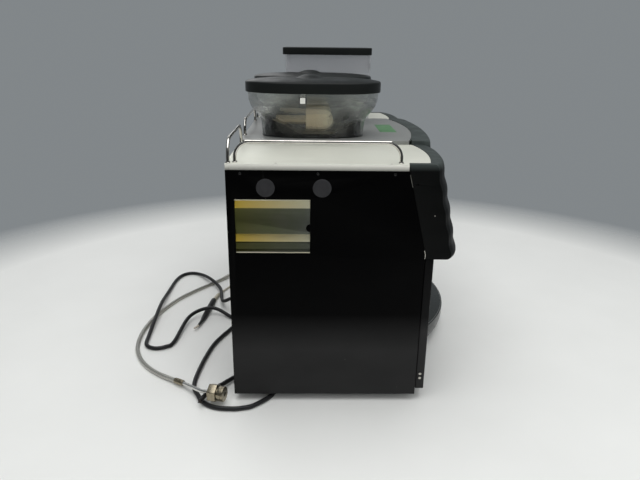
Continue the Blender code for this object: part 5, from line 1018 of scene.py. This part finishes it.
BALL = 0.011
ball_top = HEAD_FOOT - 0.0003 - BALL
wand_route = [at(0.545, 0.405 + BALL * reach, ball_top - BALL * drop)
              for drop, reach in ((0.0, 0.0), (2.4, 0.0), (4.2, 0.35), (7.5, 1.5), (11.5, 2.7))]
hang(bezier("steam_pipe", wand_route, 0.008, 6), bright, "steam_wand")
ball = spun([(BALL * math.cos(math.pi * (1 - step / 16)), BALL * math.sin(math.pi * step / 16))
             for step in range(17)], wand_route[0], UP, 32)
settle("wand_ball", ball, bright, body="wand")
tip_way = (wand_route[-1] - wand_route[-2]).normalized()
sleeve_place = wand_route[2] + (wand_route[3] - wand_route[2]) * 0.3
sleeve_way = (wand_route[3] - wand_route[2]).normalized()
settle("wand_sleeve", spun([(0, 0.0038), (0, 0.0058), (0.0015, 0.0066), (0.024, 0.0066), (0.0255, 0.0058),
                            (0.0255, 0.0038)], sleeve_place, sleeve_way, 32), rubber, body="wand")
settle("wand_tip", spun([(-0.0105, 0.004), (-0.0105, 0.0046), (-0.0095, 0.005), (-0.0035, 0.005),
                         (-0.0008, 0.0036), (-0.0004, 0.001), (-0.0004, 0)], wand_route[-1], tip_way, 28), chrome,
       body="wand")
print("tray, spout and wand made")

# %% [markdown]
# ## Bean hoppers
# Each hopper is a clear bowl on a black base with a V funnel, under a black lid. A bowl and a lid are rounded
# ovals, squarer than an ellipse, so each ring is a circle of edges pulled out to that oval. The bowl is one open
# wall with a thickened rim and a moulded shoulder. Its clear plastic has slight waves, which give the
# streaky highlights of a moulding.

# %% Clear plastic and the rings
clear = Finish("clear_plastic", "clear_plastic", (0.9, 0.91, 0.87), 0.03, levels={
    "Transmission Weight": 1.0, "IOR": 1.42, "Alpha": 0.6})
waves = clear.maths("ADD", clear.noise(20, (0.35, 0.35, 5.0), 2),
                    clear.maths("MULTIPLY", clear.noise(55, (1, 1, 1.5), 1), 0.35))
clear.bump(waves, 0.7, 0.0016)
clear.roughness(clear.span(clear.noise(60, (1, 1, 4), 4), 0.45, 0.75, 0.02, 0.16))
lid_black = Finish("lid_black", "black_plastic", (0.01, 0.0115, 0.011), 0.36, levels={"Specular IOR Level": 0.14})
lid_black.handled(28, 0.35, 0.7, 0.32, 0.46, 5)
lid_black.grained(1000, 0.18, 0.0001, detail=2)
HOPPER_DEPTH = 0.1587


def oval(side, height, half_long, half_short, count=96, squareness=2.6):
    """Ring of places on a rounded oval in plan."""
    ring = []
    for step in range(count):
        angle = 2 * math.pi * step / count
        across = math.copysign(abs(math.cos(angle)) ** (2 / squareness), math.cos(angle))
        along = math.copysign(abs(math.sin(angle)) ** (2 / squareness), math.sin(angle))
        ring.append(at(side + half_short * across, HOPPER_DEPTH + half_long * along, height))
    return ring


def walled(side, profile, wall):
    """An oval wall, open at both ends, from (height, half long, half short) levels and its thickness."""
    inner = [(height, long - wall, short - wall) for height, long, short in reversed(profile)]
    rings = [oval(side, *level) for level in [*profile, *inner]]
    builder = shell([*rings, rings[0]], capped=(False, False))
    bmesh.ops.remove_doubles(builder, verts=builder.verts, dist=1e-6)
    bmesh.ops.recalc_face_normals(builder, faces=builder.faces)
    return builder


# %% Bowls, lids, bases and paddles
beige = Finish("beige_shutter", "beige_plastic", (0.7, 0.62, 0.42), 0.42)
speckle = beige.span(beige.noise(420, detail=2), 0.5, 0.64, 0, 0.8)
pale_end = beige.along("Y", BACK - 0.165, BACK - 0.205)
pale = beige.between(pale_end, (0.84, 0.72, 0.5), (0.93, 0.89, 0.68))
beige.colour(beige.between(speckle, pale, (0.62, 0.48, 0.26)))
base_black = Finish("funnel_black", "black_plastic", (0.004, 0.004, 0.004), 0.25)
base_black.handled(30, 0.3, 0.7, 0.18, 0.36, 4)
tag_white = Finish("tag_white", "clear_plastic", (0.75, 0.75, 0.7), 0.5)
BOWL = [(0.5081, 0.1142, 0.064), (0.511, 0.1148, 0.0645), (0.52, 0.1156, 0.0652), (0.53, 0.1162, 0.0658),
        (0.536, 0.1168, 0.0664), (0.541, 0.118, 0.0674), (0.547, 0.1216, 0.0692), (0.553, 0.127, 0.0722),
        (0.559, 0.1322, 0.0752), (0.565, 0.1366, 0.0778), (0.571, 0.14, 0.0798), (0.577, 0.1424, 0.0812),
        (0.5778, 0.142, 0.0808), (0.58, 0.1428, 0.0812), (0.5808, 0.1434, 0.0816), (0.587, 0.1446, 0.0821),
        (0.599, 0.1452, 0.0824), (0.6165, 0.1452, 0.0824), (0.6186, 0.1446, 0.0818)]
LID = [(0.6194, 0.1464, 0.0834), (0.6003, 0.1468, 0.0838), (0.6, 0.148, 0.085), (0.6008, 0.1496, 0.0866),
       (0.603, 0.15, 0.087), (0.619, 0.15, 0.087), (0.6216, 0.1495, 0.0865), (0.6229, 0.148, 0.085),
       (0.624, 0.143, 0.0815), (0.6262, 0.129, 0.0745), (0.6279, 0.108, 0.0625), (0.6291, 0.08, 0.046),
       (0.6298, 0.045, 0.026), (0.63, 0.018, 0.0105)]
for label, side in (("left", 0.303), ("right", 0.518)):
    bowl = walled(side, BOWL, 0.0027)
    settle(f"bean_bowl_{label}", bowl, clear, f"hopper_bowl_{label}", corner=50)
    lid = shell([oval(side, *level) for level in LID])
    grip_middle = at(side, HOPPER_DEPTH - 0.007, 0)
    grip = shell([[Vector((grip_middle.x + 0.03 * share * math.cos(2 * math.pi * step / 48),
                           grip_middle.y + 0.0265 * share * math.sin(2 * math.pi * step / 48), height))
                   for step in range(48)] for share, height in (
                       (1.35, 0.628), (1.25, 0.6293), (1.12, 0.6302), (1.0, 0.6312), (0.88, 0.6325), (0.74, 0.634),
                       (0.6, 0.6352), (0.44, 0.6361), (0.26, 0.6366), (0.1, 0.6368))])
    settle(f"bean_lid_{label}", merged(lid, grip), lid_black, f"hopper_lid_{label}", corner=50)
    dressed(f"funnel_base_{label}", f"hopper_base_{label}", base_black, 0.001, 3)
    dressed(f"paddle_{label}", f"shutter_paddle_{label}", beige, 0.0022, 4)
    holder = eased(slab((side - 0.0831, side - 0.0822), (0.1285, 0.1443), (0.5795, 0.5932)), 0.0002, 1)
    settle(f"tag_holder_{label}", holder, base_black, body=f"hopper_{label}")
    tag = slab((side - 0.0835, side - 0.0829), (0.1308, 0.1422), (0.5803, 0.5924))
    settle(f"bowl_tag_{label}", eased(tag, 0.0002, 1), tag_white, body=f"hopper_{label}")
print("hoppers made")

# %% [markdown]
# ## Powder hopper
# The drink powder stands in a tall frosted box with rounded corners, so its plastic scatters the light that
# comes through. Two ribs on its far side are painted near white as painted highlights of its bright edges. A flat
# black lid lies over it, hinged at the rear, with a small dark latch at the front.

# %% Powder hopper and lid
frosted = Finish("frosted_plastic", "frosted_plastic", (0.62, 0.62, 0.64), 0.3, levels={
    "Transmission Weight": 0.75, "IOR": 1.3, "Alpha": 0.42})
frosted.handled(9, 0.35, 0.7, 0.3, 0.34, 2)
# Painted highlight: the two ribs are painted near white to stand for the bright vertical edges of the frosted box.
rib_highlight_white = Finish("rib_painted_highlight", "frosted_plastic", (0.92, 0.93, 0.96), 0.35)
dressed("powder_box", "powder_hopper", frosted, 0.0012, 3)
dressed("powder_cap", "powder_lid", lid_black, 0.0022, 4)
low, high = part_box("powder_hopper")
front, near, far = BACK - low.y, low.x - LEFT, high.x - LEFT
latch = slab((near + 0.052, near + 0.092), (front - 0.0001, front + 0.0028), (0.6345, 0.65))
settle("powder_latch", eased(latch, 0.001, 3), satin, body="machine")
ribs = bmesh.new()
for depth in (BACK - high.y + 0.0045, front - 0.0195):
    rib = slab((far - 0.005, far - 0.0028), (depth, depth + 0.0042), (low.z + 0.003, 0.6705))
    merged(ribs, eased(rib, 0.0006, 2))
settle("powder_ribs", ribs, rib_highlight_white, body="machine")
print("powder hopper made")

# %% [markdown]
# ## Works inside
# The grinders, brew group, boiler, pump, board and frame only show through the cup space and the lifted hoppers.
# Their CAD shapes are right as they are, so each keeps its mesh and gets a finish with some variation.

# %% Works keep their meshes
cast = Finish("cast_metal", "works_metal", (0.3, 0.3, 0.31), 0.45, 0.8)
cast.mottled(30, (0.22, 0.22, 0.23), (0.38, 0.38, 0.39), 5)
cast.handled(90, 0.3, 0.7, 0.35, 0.58)
zinced = Finish("zinced_frame", "frame_steel", (0.34, 0.34, 0.35), 0.42, 0.9)
zinced.colour(zinced.between(zinced.node("TexVoronoi", {"Vector": zinced.place, "Scale": 55.0}, output=0),
                             (0.31, 0.31, 0.32), (0.38, 0.38, 0.39)))
board = Finish("board_green", "board_green", (0.015, 0.1, 0.04), 0.4)
board.colour(board.between(board.span(board.noise(320), 0.5, 0.6, 0, 1), (0.012, 0.085, 0.032), (0.03, 0.16, 0.07)))
for node, finish in (("grinder_left", cast), ("grinder_right", cast), ("brew_group", cast), ("boiler", cast),
                     ("pump", cast), ("inner_frame", zinced), ("control_board", board)):
    mesh = frame["nodes"][node].data
    mesh.materials.clear()
    mesh.materials.append(finish.material)
print("works dressed")

# %% [markdown]
# ## Table and light
# The machine stands on a pale table that fades into a plain grey room. A large soft lamp above lights the tops, a
# second one behind picks out the rims, and a third at the camera's side lights the near faces but isn't mirrored
# in them. The room that metal and plastic mirror is as bright as the one shown, and dim on the camera's side. Light
# that has already bounced off a matt face meets the same room from all sides, so bowls aren't dark inside.

# %% Table, room and lamps
WALL = (0.222, 0.24, 0.251, 1)
table_top = bpy.data.objects.new("table_top", bpy.data.meshes.new("table_top"))
builder = bmesh.new()
bmesh.ops.create_circle(builder, cap_ends=True, segments=96, radius=2.2)
builder.to_mesh(table_top.data)
builder.free()
bpy.context.scene.collection.objects.link(table_top)
table = Finish("table_white", "", (0.8, 0.8, 0.78), 0.55)
table.mottled(5, (0.77, 0.775, 0.75), (0.83, 0.835, 0.81))
centred = table.node("Mapping", {"Vector": table.place, "Location": (0.25, 0, 0)})
radius = table.node("VectorMath", {"Vector": centred}, output=1, operation="LENGTH")
seen = table.node("BsdfTransparent")
mixed = table.node("MixShader", {0: table.span(radius, 1.2, 1.6, 0, 1), 1: table.shader.outputs[0], 2: seen})
table.set(table.tree.nodes["Material Output"], {"Surface": mixed})
table_top.data.materials.append(table.material)

world = bpy.data.worlds.new("room")
bpy.context.scene.world = world
world.use_nodes = True
room = world.node_tree
room.nodes.clear()


def room_node(kind, operation=None, **inputs):
    """Add a node to the room's shader, with values or links on i0, i1 and so on, and give back its outputs."""
    made = room.nodes.new("ShaderNode" + kind)
    if operation:
        made.operation = operation
    for key, value in inputs.items():
        socket = made.inputs[int(key[1:])]
        if isinstance(value, bpy.types.NodeSocket):
            room.links.new(value, socket)
        else:
            socket.default_value = value
    return made.outputs


ray = room_node("LightPath")
direction = room_node("SeparateXYZ", i0=room_node("TexCoord")["Generated"])
behind = room_node("MapRange", i0=direction[0], i1=-0.5, i2=0.35, i3=0.18, i4=1.0)[0]
overhead = room_node("MapRange", i0=direction[2], i1=0.35, i2=0.8, i3=0.0, i4=1.0)[0]
bright_part = room_node("Math", "MAXIMUM", i0=behind, i1=overhead)[0]
mirrored_room = room_node("Background", i0=WALL, i1=bright_part)[0]
lighting_room = room_node("Background", i0=(0.96, 0.98, 1.0, 1), i1=0.46)[0]
shown_room = room_node("Background", i0=WALL, i1=1.0)[0]
mirrored = room_node("Math", "MAXIMUM", i0=ray["Is Glossy Ray"], i1=ray["Is Transmission Ray"])[0]
straight = room_node("Math", "LESS_THAN", i0=ray["Diffuse Depth"], i1=0.5)[0]
mirrored = room_node("Math", "MULTIPLY", i0=mirrored, i1=straight)[0]
first_mix = room_node("MixShader", i0=mirrored, i1=lighting_room, i2=mirrored_room)[0]
last_mix = room_node("MixShader", i0=ray["Is Camera Ray"], i1=first_mix, i2=shown_room)[0]
room_node("OutputWorld", i0=last_mix)

for name, place, aim, size, energy in (("lamp_overhead", (-0.5, 0.0, 2.4), (-0.2, 0, 0.3), 2.4, 42),
                                       ("lamp_behind", (2.1, 0.9, 1.6), (0, 0, 0.4), 1.4, 6),
                                       ("lamp_fill", (-2.3, -1.0, 1.5), (0, 0, 0.3), 1.6, 12)):
    lamp = bpy.data.objects.new(name, bpy.data.lights.new(name, "AREA"))
    lamp.data.shape, lamp.data.size, lamp.data.energy = "SQUARE", size, energy
    lamp.location = place
    lamp.rotation_mode = "QUATERNION"
    lamp.rotation_quaternion = (Vector(aim) - Vector(place)).to_track_quat("-Z", "Y")
    lamp.visible_glossy = name != "lamp_fill"
    bpy.context.scene.collection.objects.link(lamp)
print("lamps and room ready")
